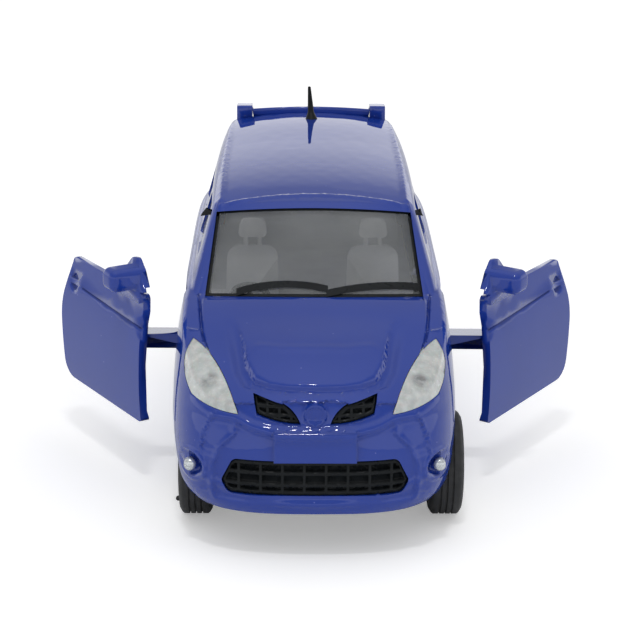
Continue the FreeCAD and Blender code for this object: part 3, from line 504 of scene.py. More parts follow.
BLUE = Enamel("blue_enamel", (0.010, 0.038, 0.285), (0.012, 0.043, 0.310), roughness=0.3, spread=0.06,
              patch=16.0, grain=2.6, depth=0.002, coat=1.0, specular=0.0)
GLASS = Glazing("grey_pane", (0.270, 0.285, 0.295), (0.330, 0.345, 0.350), roughness=0.12, spread=0.05,
                patch=9.0, grain=7.0, depth=0.002, coat=0.4, specular=0.3)
TAIL = Moulding("tail_red_lens", (0.42, 0.01, 0.012), (0.33, 0.008, 0.01), roughness=0.12, spread=0.04,
                grain=0.9, depth=0.03, coat=0.8)
SILVER = Moulding("lamp_silver_paint", (0.62, 0.66, 0.69), (0.5, 0.53, 0.56), roughness=0.25, metallic=0.6,
                  patch=0.8, coat=0.5)
TRIM = Moulding("black_trim_plastic", (0.006, 0.0075, 0.009), (0.010, 0.012, 0.014), roughness=0.34,
                spread=0.1, patch=3.0, grain=0.5, depth=0.012, coat=0.0, specular=0.14)
CHASSIS = Moulding("chassis_black_plastic", (0.012, 0.013, 0.014), (0.02, 0.021, 0.023), roughness=0.5,
                   spread=0.1, patch=9.0, grain=0.35, depth=0.02)
CABIN = Moulding("cabin_grey_plastic", (0.56, 0.56, 0.54), (0.66, 0.66, 0.63), roughness=0.42,
                 spread=0.1, patch=6.0, grain=0.4, depth=0.02, coat=0.25)
RUBBER = Moulding("tyre_rubber", (0.010, 0.0115, 0.013), (0.018, 0.019, 0.021), roughness=0.62, spread=0.1,
                  patch=3.0, grain=0.22, depth=0.03)
RIM = Moulding("rim_silver_paint", (0.42, 0.43, 0.44), (0.5, 0.51, 0.52), roughness=0.3, spread=0.08,
               patch=2.5, metallic=0.75, coat=0.3)
STEEL = Moulding("drawn_steel", (0.45, 0.45, 0.44), (0.56, 0.56, 0.55), roughness=0.28, spread=0.1,
                 patch=1.5, grain=0.2, metallic=1.0)
SPRING = Moulding("blued_spring_steel", (0.10, 0.11, 0.14), (0.17, 0.17, 0.19), roughness=0.3, metallic=1.0,
                  patch=1.5, grain=0.2)
GEAR = Moulding("white_gear_nylon", (0.62, 0.61, 0.57), (0.7, 0.69, 0.65), roughness=0.4, patch=2.5,
                grain=0.3)
CASE = Moulding("white_case_plastic", (0.55, 0.55, 0.52), (0.63, 0.63, 0.6), roughness=0.45, patch=5.0,
                grain=0.35, depth=0.015)
PAPER = Floor("pale_paper", (0.955, 0.957, 0.96), (0.965, 0.967, 0.97), roughness=0.9, spread=0.05,
              patch=60.0, grain=2.0, depth=0.004, specular=0.1)


# ---------------------------------------------------------------- pieces
def new_piece(name: str, mesh: bmesh.types.BMesh, body: str, material: bpy.types.Material,
              sharp: float = 35.0) -> bpy.types.Object:
    """Turns a finished bmesh into a piece that rides on a body.

    Args:
        name: name of the piece.
        mesh: its shape in metres, in the frame.
        body: body that it moves with.
        material: its material.
        sharp: edges that turn by more degrees than this stay sharp.

    Returns:
        The new object.
    """
    data = bpy.data.meshes.new(name)
    mesh.to_mesh(data)
    mesh.free()
    data.materials.clear()
    data.materials.append(material)
    data.polygons.foreach_set("use_smooth", [True] * len(data.polygons))
    data.set_sharp_from_angle(angle=math.radians(sharp))
    piece = bpy.data.objects.new(name, data)
    bpy.context.scene.collection.objects.link(piece)
    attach(piece, body)
    LOG.info("%s: %d faces on %s", name, len(data.polygons), body)
    return piece


def merged(node: str) -> bmesh.types.BMesh:
    """Copy of a node's mesh with its loose triangles joined.

    Args:
        node: name of the CAD node.

    Returns:
        The joined copy.
    """
    mesh = bmesh.new()
    mesh.from_mesh(frame["nodes"][node].data)
    bmesh.ops.remove_doubles(mesh, verts=mesh.verts, dist=JOIN)
    return mesh


@dataclass(frozen=True)
class Fitted:
    """A CAD node that keeps its shape and gets smooth shading and a finish."""

    node: str
    slot: Slot
    finish: Moulding
    sharp: float = 35.0

    def build(self) -> bpy.types.Object:
        """Makes the finished copy and hides the node behind it.

        Returns:
            The finished piece.
        """
        body = frame["nodes"][self.node]["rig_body"]
        piece = new_piece(self.node + "_finished", self.mesh(), body, self.finish.material(),
                          self.sharp)
        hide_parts(self.node)
        return piece

    def mesh(self) -> bmesh.types.BMesh:
        """Shape of the finished piece."""
        return merged(self.node)


@dataclass(frozen=True)
class Squat(Fitted):
    """A fitted piece that stands a little lower on its foot than the node.

    Attributes:
        height: share of the node's height.
    """

    height: float = 0.8

    def mesh(self) -> bmesh.types.BMesh:
        """Shape of the finished piece."""
        mesh = merged(self.node)
        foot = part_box(self.node)[0].z
        for corner in mesh.verts:
            corner.co.z = foot + (corner.co.z - foot) * self.height
        return mesh


@dataclass(frozen=True)
class Spoiler(Squat):
    """Roof spoiler whose bar follows the curve of the roof. Sizes in mm.

    Attributes:
        bar_half: half length of the bare bar between its blocks.
        arch: height of the bar's curve.
        thicken: share by which the bar grows downwards.
        cuts: pieces that each half of the bar is cut into.
        slack: reach past its ends within which a corner counts as the bar's.
    """

    bar_half: float = 11.4
    arch: float = 0.45
    thicken: float = 1.9
    cuts: int = 8
    slack: float = 0.01

    def mesh(self) -> bmesh.types.BMesh:
        """Shape of the finished spoiler."""
        mesh = super().mesh()
        for i in range(-self.cuts, self.cuts + 1):
            bmesh.ops.bisect_plane(mesh, geom=list(mesh.verts) + list(mesh.edges) + list(mesh.faces),
                                   dist=SNAP, plane_co=(i / self.cuts * self.bar_half * MM, 0.0, 0.0),
                                   plane_no=(1.0, 0.0, 0.0))
        bar = [corner for corner in mesh.verts if abs(corner.co.x) < (self.bar_half + self.slack) * MM]
        top = max(corner.co.z for corner in bar)
        for corner in bar:
            share = corner.co.x / (self.bar_half * MM)
            corner.co.z = top + (corner.co.z - top) * self.thicken - self.arch * MM * share * share
        return mesh


@dataclass(frozen=True)
class Trim:
    """Bare pieces fixed to the outside of the body."""

    pieces: tuple[Fitted, ...] = (
        Spoiler("rear_spoiler", Slot.PAINT, BLUE, height=0.74),
        Squat("antenna", Slot.TRIM, TRIM, height=0.88),
        Fitted("upper_grille", Slot.TRIM, TRIM), Fitted("lower_grille", Slot.TRIM, TRIM),
        Fitted("wipers", Slot.TRIM, TRIM))

    def build(self) -> None:
        """Makes each of them."""
        for piece in self.pieces:
            piece.build()


# ---------------------------------------------------------------- body
@dataclass(frozen=True)
class Crease:
    """Crease pressed into both halves of the shell, with uneven beads of paint along it. Sizes in mm.

    Attributes:
        line: course of the crease, as (distance from the middle, second coordinate).
        width: half width.
        rise: height, or depth where it is under 0.
        beads: how much the beads add or take at most.
        bead: size of a bead.
    """

    line: Line
    width: float
    rise: float
    beads: float = 0.0
    bead: float = 0.8

    def height(self, across: float, along: float) -> float:
        """Height of the crease at a place.

        Args:
            across: distance from the middle of the car in mm.
            along: second coordinate of the place in mm.

        Returns:
            The height in mm.
        """
        course = [point[1] for point in self.line]
        if not min(course) - self.width < along < max(course) + self.width:
            return 0.0
        bump = ridge(off_line(self.line, abs(across), along), self.width)
        if bump and self.beads:
            return bump * (self.rise + self.beads * noise.noise(Vector((across, along, 0.0)) / self.bead))
        return bump * self.rise


@dataclass(frozen=True)
class RoofRelief:
    """Pressed shape of the roof: a ridge along each side and a lip along the front edge. Sizes in mm."""

    creases: tuple[Crease, ...] = (
        Crease(((15.7, -10.8), (15.9, 10.0), (15.6, 46.0)), 0.9, 0.32),
        Crease(((0.0, -11.4), (10.0, -11.3), (15.7, -10.8)), 0.7, 0.3))

    def height(self, x: float, y: float) -> float:
        """Height above the plain roof.

        Args:
            x: place across the car in mm.
            y: place along the car in mm.

        Returns:
            The height in mm.
        """
        return sum(crease.height(x, y) for crease in self.creases)


@dataclass(frozen=True)
class BonnetRelief:
    """Pressed shape of the bonnet: a raised middle panel between two valleys. Sizes in mm."""

    edge: Line = ((0.0, -55.0), (4.0, -54.7), (7.0, -53.6), (9.2, -51.6),
                  (10.4, -48.6), (11.4, -42.0), (12.6, -36.0))
    rise: float = 0.85
    valley: float = 0.55
    valley_width: float = 1.5
    valley_offset: float = 0.9
    fade_start: float = -47.0
    fade_end: float = -35.0
    edge_lead: float = 0.16
    edge_width: float = 0.8
    valley_span: tuple[float, float] = (-54.5, -51.0)
    creases: tuple[Crease, ...] = (Crease(((0.0, -46.5), (5.0, -46.2), (8.5, -45.0)), 1.6, 0.12),
                                   Crease(((18.3, -28.5), (18.1, -34.0), (17.4, -40.5)), 0.5, -0.35))

    def height(self, x: float, y: float) -> float:
        """Height above the plain bonnet.

        Args:
            x: place across the car in mm.
            y: place along the car in mm.

        Returns:
            The height in mm.
        """
        across = abs(x)
        fade = 1.0 - smooth_step(self.fade_start, self.fade_end, y)
        panel = self.rise * smooth_step(-self.edge_lead, self.edge_width, y - between(self.edge, across))
        line = between([(b, a) for a, b in self.edge], y)
        trough = self.valley * ridge(across - line - self.valley_offset, self.valley_width)
        trough *= smooth_step(*self.valley_span, y)
        return (panel - trough) * fade + sum(crease.height(x, y) for crease in self.creases)


@dataclass(frozen=True)
class NoseRelief:
    """Pressed shape of the nose: grille band, bumper lip, grille surround and lower lip. Sizes in mm.

    Heights with lip in their name count from the bumper's lip.
    """

    lip: Line = ((0.0, 21.35), (6.3, 21.4), (9.5, 22.1), (12.0, 23.1), (15.4, 22.9), (18.5, 23.4))
    band_depth: float = 0.45
    band_lip: tuple[float, float] = (-0.15, 0.55)
    band_top: tuple[float, float] = (26.2, 27.4)
    band_side: tuple[float, float] = (11.5, 13.5)
    bulge: float = 0.25
    bulge_lip: float = -0.5
    bulge_width: float = 1.3
    surround: Line = ((9.5, 15.0), (11.5, 15.4), (15.0, 15.3), (18.0, 14.3), (20.3, 12.0))
    surround_depth: float = 0.5
    surround_soft: float = 0.5
    surround_foot: tuple[float, float] = (9.3, 10.3)
    surround_lip: tuple[float, float] = (-1.6, -0.6)
    rim: float = 0.25
    rim_width: float = 0.7
    rim_offset: float = 0.4
    rim_foot: tuple[float, float] = (8.8, 9.8)
    rim_lip: tuple[float, float] = (-1.4, -0.6)
    cheek: Line = ((16.0, 17.6), (18.5, 17.2), (20.2, 16.6), (22.6, 15.3))
    cheek_depth: float = 0.35
    cheek_soft: float = 0.3
    cheek_foot: tuple[float, float] = (16.0, 17.4)
    cheek_lip: tuple[float, float] = (-1.2, -0.5)
    lower_lip: float = 9.6
    lower_lip_curve: float = 0.012
    lower_lip_height: float = 0.3
    lower_lip_width: float = 1.2
    fog: tuple[float, float] = (19.1, 14.0)
    fog_ring: float = 2.3
    fog_rise: float = 0.38
    fog_groove: float = 0.85
    fog_width: float = 0.6
    creases: tuple[Crease, ...] = (Crease(((15.3, 22.8), (16.6, 20.2), (17.5, 16.6)), 0.6, 0.22, 0.5, 0.6),
                                   Crease(((0.0, 21.45), (6.2, 21.45)), 0.5, 0.16, 0.3, 0.6),
                                   Crease(((15.5, 11.3), (17.6, 10.2), (18.6, 8.8)), 0.6, 0.25, 0.2, 0.6))

    def depth(self, x: float, z: float) -> float:
        """How far the nose stands out from the plain form.

        Args:
            x: place across the car in mm.
            z: height in mm.

        Returns:
            The distance forwards in mm.
        """
        across = abs(x)
        from_lip = z - between(self.lip, across)
        band = smooth_step(*self.band_lip, from_lip) * (1.0 - smooth_step(*self.band_top, z))
        band *= 1.0 - smooth_step(*self.band_side, across)
        out = self.bulge * ridge(from_lip - self.bulge_lip, self.bulge_width) - self.band_depth * band
        beyond = across - between(self.surround, z)
        inside = 1.0 - smooth_step(-self.surround_soft, self.surround_soft, beyond)
        inside *= smooth_step(*self.surround_foot, z) * (1.0 - smooth_step(*self.surround_lip, from_lip))
        out -= self.surround_depth * inside
        rim = smooth_step(*self.rim_foot, z) * (1.0 - smooth_step(*self.rim_lip, from_lip))
        out += self.rim * rim * ridge(beyond - self.rim_offset, self.rim_width)
        cheek = 1.0 - smooth_step(-self.cheek_soft, self.cheek_soft, across - between(self.cheek, z))
        cheek *= smooth_step(0.0, self.surround_soft, beyond)
        cheek *= smooth_step(*self.cheek_foot, z) * (1.0 - smooth_step(*self.cheek_lip, from_lip))
        out -= self.cheek_depth * cheek
        out += sum(crease.height(x, z) for crease in self.creases)
        sag = self.lower_lip + self.lower_lip_curve * across * across
        out += self.lower_lip_height * ridge(z - sag, self.lower_lip_width)
        ring = math.hypot(across - self.fog[0], z - self.fog[1]) - self.fog_ring
        groove = ridge(ring + self.fog_groove, self.fog_width)
        return out + self.fog_rise * (ridge(ring, self.fog_width) - groove)


@dataclass(frozen=True)
class Region:
    """Part of the shell that is cut into an even net and pressed. Sizes in mm.

    Attributes:
        chosen: test for the faces of the region.
        axis: second direction of the net, besides X.
        span: start and end of the net along it.
        pitch: distance between the net's lines.
        move: presses one corner.
        passes: rounds of smoothing that even out the shell before it is pressed.
    """

    chosen: Callable[[bmesh.types.BMFace], bool]
    axis: int
    span: tuple[float, float]
    pitch: float
    move: Callable[[bmesh.types.BMVert], None]
    passes: int


@dataclass(frozen=True)
class BodyShell:
    """Die-cast body with its pressed roof, bonnet and nose. Sizes in mm."""

    roof: RoofRelief = RoofRelief()
    bonnet: BonnetRelief = BonnetRelief()
    nose: NoseRelief = NoseRelief()
    roof_span: tuple[float, float] = (-12.8, 50.0)
    roof_pitch: float = 0.75
    roof_floor: float = 42.0
    roof_slope: float = 0.8
    roof_passes: int = 12
    bonnet_span: tuple[float, float] = (-57.5, -28.0)
    bonnet_floor: float = 21.0
    bonnet_slope: float = 0.55
    bonnet_passes: int = 16
    nose_span: tuple[float, float] = (7.0, 27.5)
    nose_fade: tuple[float, float] = (-50.0, -47.0)
    nose_slope: float = 0.62
    nose_lean: float = -0.3
    nose_passes: int = 10
    fine_pitch: float = 0.45
    half_width: float = 21.6
    emblem: tuple[float, float] = (0.0, 23.5)
    emblem_radius: float = 2.0
    emblem_rim: float = 0.22
    emblem_rim_radius: float = 1.5
    emblem_rim_width: float = 0.5
    even_turn: float = math.cos(math.radians(9.0))
    sharp: float = 32.0
    most_corners: int = 4

    def build(self) -> None:
        """Makes the painted shell."""
        mesh = merged("body_shell")
        roof = Region(self.on_roof, 1, self.roof_span, self.roof_pitch, self.press_roof, self.roof_passes)
        bonnet = Region(self.on_bonnet, 1, self.bonnet_span, self.fine_pitch, self.raise_bonnet,
                        self.bonnet_passes)
        nose = Region(self.on_nose, 2, self.nose_span, self.fine_pitch, self.press_nose, self.nose_passes)
        for region in (roof, bonnet, nose):
            self.shape_part(mesh, region)
        large = [face for face in mesh.faces if len(face.verts) > self.most_corners]
        bmesh.ops.triangulate(mesh, faces=large)
        shell = new_piece("painted_body", mesh, "root", BLUE.material(), self.sharp)
        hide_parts("body_shell")

    def on_roof(self, face: bmesh.types.BMFace) -> bool:
        """Whether a face belongs to the roof's outside."""
        middle = face.calc_center_median() / MM
        inside = self.roof_span[0] < middle.y < self.roof_span[1]
        return face.normal.z > self.roof_slope and middle.z > self.roof_floor and inside

    def on_bonnet(self, face: bmesh.types.BMFace) -> bool:
        """Whether a face belongs to the bonnet's outside."""
        middle = face.calc_center_median() / MM
        inside = self.bonnet_span[0] < middle.y < self.bonnet_span[1]
        return face.normal.z > self.bonnet_slope and middle.z > self.bonnet_floor and inside

    def on_nose(self, face: bmesh.types.BMFace) -> bool:
        """Whether a face belongs to the outside of the nose."""
        inside = face.calc_center_median().y / MM < self.nose_fade[1]
        return face.normal.y < self.nose_lean and face.normal.z < self.nose_slope and inside

    def shape_part(self, mesh: bmesh.types.BMesh, region: Region) -> None:
        """Cuts part of the shell into an even net and presses the net's corners.

        Args:
            mesh: the shell.
            region: the part to press.
        """
        steps = int(self.half_width / region.pitch)
        self.cut_net(mesh, region.chosen, 0, [i * region.pitch for i in range(-steps, steps + 1)])
        count = int((region.span[1] - region.span[0]) / region.pitch)
        places = [region.span[0] + i * region.pitch for i in range(count + 1)]
        self.cut_net(mesh, region.chosen, region.axis, places)
        mesh.normal_update()
        faces = {face for face in mesh.faces if region.chosen(face)}
        corners = {corner for face in faces for corner in face.verts}
        even = [corner for corner in corners if faces.issuperset(corner.link_faces) and self.is_even(corner)]
        for _ in range(region.passes):
            bmesh.ops.smooth_vert(mesh, verts=even, factor=0.5, use_axis_x=True, use_axis_y=True,
                                  use_axis_z=True)
        for corner in corners:
            region.move(corner)

    def is_even(self, corner: bmesh.types.BMVert) -> bool:
        """Whether no face round a corner turns far from the corner's own normal."""
        return all(face.normal.dot(corner.normal) > self.even_turn for face in corner.link_faces)

    @staticmethod
    def cut_net(mesh: bmesh.types.BMesh, chosen: Callable[[bmesh.types.BMFace], bool], axis: int,
                places: Iterable[float]) -> None:
        """Cuts the chosen faces by a row of planes.

        Args:
            mesh: the shell.
            chosen: test for the faces to cut.
            axis: direction across the planes.
            places: where the planes stand, in mm.
        """
        normal = Vector((axis == 0, axis == 1, axis == 2))
        faces = {face for face in mesh.faces if chosen(face)}
        for place in places:
            point = normal * place * MM
            level = place * MM
            crossed = [face for face in faces
                       if min(v.co[axis] for v in face.verts) < level < max(v.co[axis] for v in face.verts)]
            if not crossed:
                continue
            around = list({edge for face in crossed for edge in face.edges})
            corners = list({v for face in crossed for v in face.verts})
            result = bmesh.ops.bisect_plane(mesh, geom=crossed + around + corners, dist=SNAP,
                                            plane_co=point, plane_no=normal)
            faces.update(item for item in result["geom"] if isinstance(item, bmesh.types.BMFace))
            faces = {face for face in faces if face.is_valid}

    def press_roof(self, corner: bmesh.types.BMVert) -> None:
        """Lifts one corner by the roof's relief."""
        x, y, _ = corner.co / MM
        corner.co.z += self.roof.height(x, y) * MM

    def raise_bonnet(self, corner: bmesh.types.BMVert) -> None:
        """Lifts one corner by the bonnet's relief."""
        x, y, _ = corner.co / MM
        corner.co.z += self.bonnet.height(x, y) * MM

    def press_nose(self, corner: bmesh.types.BMVert) -> None:
        """Moves one corner forwards by the nose's relief, inside the frame's box."""
        x, y, z = corner.co / MM
        near = 1.0 - smooth_step(*self.nose_fade, y)
        radius = math.hypot(x - self.emblem[0], z - self.emblem[1])
        if radius < self.emblem_radius:
            x, z = self.emblem
            rim = ridge(radius - self.emblem_rim_radius, self.emblem_rim_width)
            corner.co.y -= self.emblem_rim * rim * MM
        corner.co.y -= self.nose.depth(x, z) * near * MM
        corner.co.y = max(corner.co.y, CAD_BOX[0][1])


# ---------------------------------------------------------------- doors, panes and lamps
@dataclass(frozen=True)
class Door(Fitted):
    """Opening door with a narrow ledge along the inner side of its top edge. Sizes in mm.

    Attributes:
        opening: turn from shut to the way the door stands, in degrees, with the sign of its side.
        hinge: place of the hinge at the left.
        ledge: distance of the ledge's edge from the middle of the shut car.
        ledge_height: height above which the ledge lies.
    """

    opening: float = 0.0
    hinge: tuple[float, float] = (18.48, -36.42)
    ledge: float = 20.3
    ledge_height: float = 31.0

    def mesh(self) -> bmesh.types.BMesh:
        """Shape of the finished door."""
        mesh = merged(self.node)
        pivot = Vector((math.copysign(self.hinge[0], self.opening), self.hinge[1], 0.0)) * MM
        turn = Matrix.Rotation(math.radians(self.opening), 4, "Z")
        shut = Matrix.Translation(pivot) @ turn @ Matrix.Translation(-pivot)
        for corner in mesh.verts:
            place = shut @ corner.co
            if place.z > self.ledge_height * MM and abs(place.x) < self.ledge * MM:
                place.x = math.copysign(self.ledge * MM, place.x)
                corner.co = shut.inverted() @ place
        return mesh


@dataclass(frozen=True)
class Doors:
    """The two opening doors and their pins."""

    pieces: tuple[Fitted, ...] = (Door("door_left", Slot.PAINT, BLUE, sharp=38.0, opening=33.0),
                                  Door("door_right", Slot.PAINT, BLUE, sharp=38.0, opening=-31.0),
                                  Fitted("door_pins", Slot.STEEL, STEEL))

    def build(self) -> None:
        """Makes each of them."""
        for piece in self.pieces:
            piece.build()


@dataclass(frozen=True)
class Panes:
    """Clear panes and the black edge round the windscreen. Sizes in mm.

    Attributes:
        edge_width: width of the black edge.
        edge_lift: how far it stands out, and its thickness.
        least_up: least upward part of the normals of the windscreen's outer face.
        least_ahead: least forward part of them.
    """

    edge_width: float = 0.55
    edge_lift: float = 0.03
    least_up: float = 0.35
    least_ahead: float = 0.2

    def build(self) -> None:
        """Makes the panes and the windscreen's edge."""
        for node in ("windscreen", "rear_window", "side_windows_left", "side_windows_right"):
            Fitted(node, Slot.WINDOW, GLASS).build()
        self.build_edge()

    def build_edge(self) -> None:
        """Makes the black edge from the outer face of the windscreen."""
        mesh = merged("windscreen")
        mesh.normal_update()
        inner = [face for face in mesh.faces
                 if not (face.normal.z > self.least_up and -face.normal.y > self.least_ahead)]
        bmesh.ops.delete(mesh, geom=inner, context="FACES")
        ring = bmesh.ops.inset_region(mesh, faces=list(mesh.faces), thickness=self.edge_width * MM,
                                      use_even_offset=True, use_boundary=True)["faces"]
        kept = set(ring)
        middle = [face for face in mesh.faces if face not in kept]
        bmesh.ops.delete(mesh, geom=middle, context="FACES")
        mesh.normal_update()
        for corner in mesh.verts:
            corner.co += corner.normal * self.edge_lift * MM
        bmesh.ops.solidify(mesh, geom=list(mesh.faces), thickness=self.edge_lift * MM)
        new_piece("windscreen_black_edge", mesh, "root", TRIM.material())


@dataclass(frozen=True)
class Lamps:
    """Head, tail and fog lamps. Sizes in mm."""

    bulb: tuple[float, float, float] = (16.2, -48.8, 26.3)

    def build(self) -> None:
        """Makes every lamp."""
        for side in Side:
            centre = (self.bulb[0] * side.value * MM, self.bulb[1] * MM, self.bulb[2] * MM)
            lens = LampLens("headlight_lens_" + side.word, (0.43, 0.455, 0.45), (0.52, 0.545, 0.54),
                            roughness=0.22, patch=1.1, grain=0.5, depth=0.03, coat=0.8, centre=centre)
            Fitted("headlight_" + side.word, Slot.LENS, lens).build()
            Fitted("tail_lamp_" + side.word, Slot.TAIL, TAIL).build()
        Fitted("fog_lamps", Slot.SILVER, SILVER).build()


# ---------------------------------------------------------------- wheels
@dataclass(frozen=True)
class Wheel:
    """Tyre with a grooved tread on a CAD rim. Sizes in mm.

    Attributes:
        groove_floor: share of a groove's width at its floor.
        inner_wall: inner side as (distance in, drop from the tread).
        outer_wall: outer side likewise, from the tread down.
        lip: how far in the outer side meets the rim.
    """

    end: str
    side: Side
    grooves: int = 3
    groove_width: float = 0.3
    groove_depth: float = 0.3
    shoulder: float = 0.8
    groove_floor: float = 0.7
    inner_wall: Line = ((0.0, 1.5), (0.12, 0.9), (0.5, 0.25))
    outer_wall: Line = ((0.5, 0.25), (0.12, 0.9), (0.02, 1.5), (0.22, 1.7))
    lip: float = 0.12
    steps: int = 96
    sharp: float = 40.0

    def build(self) -> None:
        """Makes the tyre and finishes the rim."""
        name = self.end + "_" + self.side.word
        body = self.end + "_wheels"
        tyre = new_piece("grooved_tyre_" + name, self.tyre_mesh(name), body, RUBBER.material(),
                         self.sharp)
        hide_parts("tyre_" + name)
        Fitted("rim_" + name, Slot.RIM, RIM).build()

    def profile(self, name: str) -> list[tuple[float, float]]:
        """Section of the tyre.

        Args:
            name: end and side of the wheel.

        Returns:
            Closed outline of (distance out from the inner face, radius) in mm.
        """
        low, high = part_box("tyre_" + name)
        rim_low, rim_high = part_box("rim_" + name)
        width = (high.x - low.x) / MM
        radius = (high.z - low.z) / 2 / MM
        seat = (rim_high.z - rim_low.z) / 2 / MM
        outline = [(0.0, seat), *((out, radius - drop) for out, drop in self.inner_wall),
                   (self.shoulder, radius)]
        pitch = (width - 2 * self.shoulder) / (self.grooves + 1)
        for i in range(1, self.grooves + 1):
            middle = self.shoulder + pitch * i
            half = self.groove_width / 2
            low_half, low_radius = half * self.groove_floor, radius - self.groove_depth
            outline += [(middle - half, radius), (middle - low_half, low_radius),
                        (middle + low_half, low_radius), (middle + half, radius)]
        outline.append((width - self.shoulder, radius))
        outline += [(width - back, radius - drop) for back, drop in self.outer_wall]
        return outline + [(width - self.lip, seat)]

    def tyre_mesh(self, name: str) -> bmesh.types.BMesh:
        """Spins the section about the axle.

        Args:
            name: end and side of the wheel.

        Returns:
            The closed tyre.
        """
        low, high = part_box("tyre_" + name)
        inner = low.x if self.side is Side.LEFT else high.x
        axle = Vector((0.0, (low.y + high.y) / 2, (low.z + high.z) / 2))
        mesh = bmesh.new()
        corners = [mesh.verts.new((inner + self.side.value * out * MM, axle.y, axle.z + radius * MM))
                   for out, radius in self.profile(name)]
        rim = [mesh.edges.new(pair) for pair in zip(corners, corners[1:] + corners[:1])]
        bmesh.ops.spin(mesh, geom=corners + rim, cent=axle, axis=(1.0, 0.0, 0.0), dvec=(0.0, 0.0, 0.0),
                       angle=math.tau, steps=self.steps, use_merge=True, use_duplicate=False)
        bmesh.ops.remove_doubles(mesh, verts=mesh.verts, dist=JOIN)
        bmesh.ops.recalc_face_normals(mesh, faces=mesh.faces)
        return mesh


@dataclass(frozen=True)
class MouldingNub:
    """Small nub of rubber left by the mould on one tyre's side. Sizes in mm."""

    place: tuple[float, float, float] = (-21.6, -42.2, 3.9)
    radius: float = 0.42

    def build(self) -> None:
        """Makes the nub."""
        mesh = bmesh.new()
        bmesh.ops.create_icosphere(mesh, subdivisions=3, radius=self.radius * MM,
                                   matrix=Matrix.Translation(Vector(self.place) * MM))
        new_piece("tyre_moulding_nub", mesh, "front_wheels", RUBBER.material())


@dataclass(frozen=True)
class Inside:
    """Everything under the body: cabin, chassis, axles and the pull back motor."""

    sharp: float = 30.0
    pieces: tuple[tuple[str, Slot, Moulding], ...] = (
        ("interior", Slot.CABIN, CABIN), ("steering_wheel", Slot.TRIM, TRIM),
        ("chassis", Slot.CHASSIS, CHASSIS), ("chassis_screws", Slot.STEEL, STEEL),
        ("front_axle", Slot.STEEL, STEEL), ("rear_axle", Slot.STEEL, STEEL),
        ("mainspring", Slot.SPRING, SPRING), ("step_gear_pin", Slot.STEEL, STEEL),
        ("idler_pin", Slot.STEEL, STEEL), ("motor_case_left", Slot.CASE, CASE),
        ("motor_case_right", Slot.CASE, CASE), ("axle_pinion", Slot.GEAR, GEAR),
        ("idler_gear", Slot.GEAR, GEAR), ("step_gear", Slot.GEAR, GEAR), ("spring_gear", Slot.GEAR, GEAR))

    def build(self) -> None:
        """Finishes each of them."""
        for node, slot, finish in self.pieces:
            Fitted(node, slot, finish, self.sharp).build()


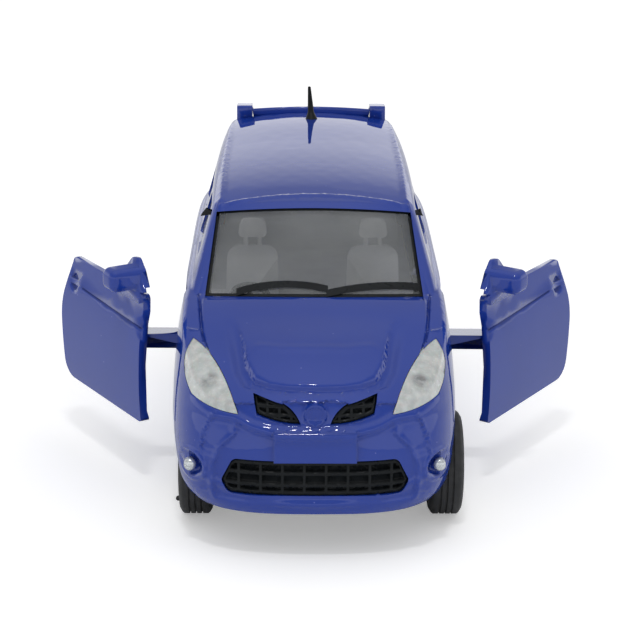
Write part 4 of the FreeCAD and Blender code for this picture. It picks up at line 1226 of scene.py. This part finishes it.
# ---------------------------------------------------------------- studio
@dataclass(frozen=True)
class Studio:
    """Pale floor, soft light and the camera. Sizes in mm, angles in degrees."""

    floor_half: float = 2500.0
    floor_cells: int = 8
    camera_place: tuple[float, float, float] = (-3.309, -338.46, 129.93)
    lens: float = 113.05
    sensor: float = 36.0
    nearest: float = 10.0
    yaw: float = 0.786
    pitch: float = 17.678
    roll: float = 0.407
    shift: float = -0.01625
    sky: float = 1.0
    sky_levels: Line = ((0.0, 1.25), (0.2, 1.25), (0.4, 0.45),
                        (0.8, 0.65), (1.0, 1.15))
    strip_size: tuple[float, float] = (70.0, 26.0)
    strip_place: tuple[float, float, float] = (-20.0, -260.0, 620.0)
    strip_aim: tuple[float, float, float] = (0.0, 0.0, 30.0)
    strip_power: float = 0.55

    def build(self) -> None:
        """Makes floor, light and camera."""
        self.build_floor()
        self.build_world()
        self.build_lamp()
        self.build_camera()
        bpy.context.scene.view_settings.view_transform = "Standard"

    def build_floor(self) -> None:
        """Lays the floor."""
        mesh = bmesh.new()
        bmesh.ops.create_grid(mesh, x_segments=self.floor_cells, y_segments=self.floor_cells,
                              size=self.floor_half * MM)
        data = bpy.data.meshes.new("studio_floor")
        mesh.to_mesh(data)
        mesh.free()
        data.materials.append(PAPER.material())
        floor = bpy.data.objects.new("studio_floor", data)
        bpy.context.scene.collection.objects.link(floor)

    def build_world(self) -> None:
        """Sets the white surroundings, with a darker belt above the backdrop."""
        world = bpy.data.worlds.new("studio_surroundings")
        bpy.context.scene.world = world
        world.use_nodes = True
        tree = world.node_tree
        background = tree.nodes["Background"]
        coords = tree.nodes.new("ShaderNodeTexCoord")
        split = tree.nodes.new("ShaderNodeSeparateXYZ")
        ramp = tree.nodes.new("ShaderNodeValToRGB")
        tree.links.new(coords.outputs["Generated"], split.inputs["Vector"])
        tree.links.new(split.outputs["Z"], ramp.inputs["Fac"])
        elements = ramp.color_ramp.elements
        while len(elements) < len(self.sky_levels):
            elements.new(0.5)
        for element, (place, value) in zip(elements, self.sky_levels):
            element.position = place
            element.color = (value, value, value, 1.0)
        tree.links.new(ramp.outputs["Color"], background.inputs["Color"])
        background.inputs["Strength"].default_value = self.sky

    def build_lamp(self) -> None:
        """Hangs one slim strip lamp above the nose."""
        lamp = bpy.data.lights.new("strip_lamp", "AREA")
        lamp.shape = "RECTANGLE"
        lamp.size = self.strip_size[0] * MM
        lamp.size_y = self.strip_size[1] * MM
        lamp.energy = self.strip_power
        holder = bpy.data.objects.new("strip_lamp", lamp)
        place = Vector(self.strip_place) * MM
        holder.location = place
        aim = Vector(self.strip_aim) * MM - place
        holder.rotation_euler = aim.to_track_quat("-Z", "Y").to_euler()
        bpy.context.scene.collection.objects.link(holder)

    def build_camera(self) -> None:
        """Places the camera."""
        yaw, pitch, roll = (math.radians(angle) for angle in (self.yaw, self.pitch, self.roll))
        ahead = Vector((math.sin(yaw) * math.cos(pitch), math.cos(yaw) * math.cos(pitch), -math.sin(pitch)))
        right = Vector((math.cos(yaw), -math.sin(yaw), 0.0))
        up = right.cross(ahead)
        leaned = right * math.cos(roll) + up * math.sin(roll)
        upright = up * math.cos(roll) - right * math.sin(roll)
        turn = Matrix((leaned, upright, -ahead)).transposed().to_4x4()
        data = bpy.data.cameras.new("studio_camera")
        data.lens = self.lens
        data.sensor_width = self.sensor
        data.shift_y = self.shift
        data.clip_start = self.nearest * MM
        camera = bpy.data.objects.new("studio_camera", data)
        camera.matrix_world = Matrix.Translation(Vector(self.camera_place) * MM) @ turn
        bpy.context.scene.collection.objects.link(camera)
        bpy.context.scene.camera = camera


def main() -> None:
    """Builds every sub-assembly in order."""
    logging.basicConfig(level=logging.INFO, format="%(message)s")
    Studio().build()
    BodyShell().build()
    Trim().build()
    Doors().build()
    Panes().build()
    Lamps().build()
    for end in ("front", "rear"):
        for side in Side:
            Wheel(end, side).build()
    MouldingNub().build()
    Inside().build()


if __name__ == "__main__":
    main()
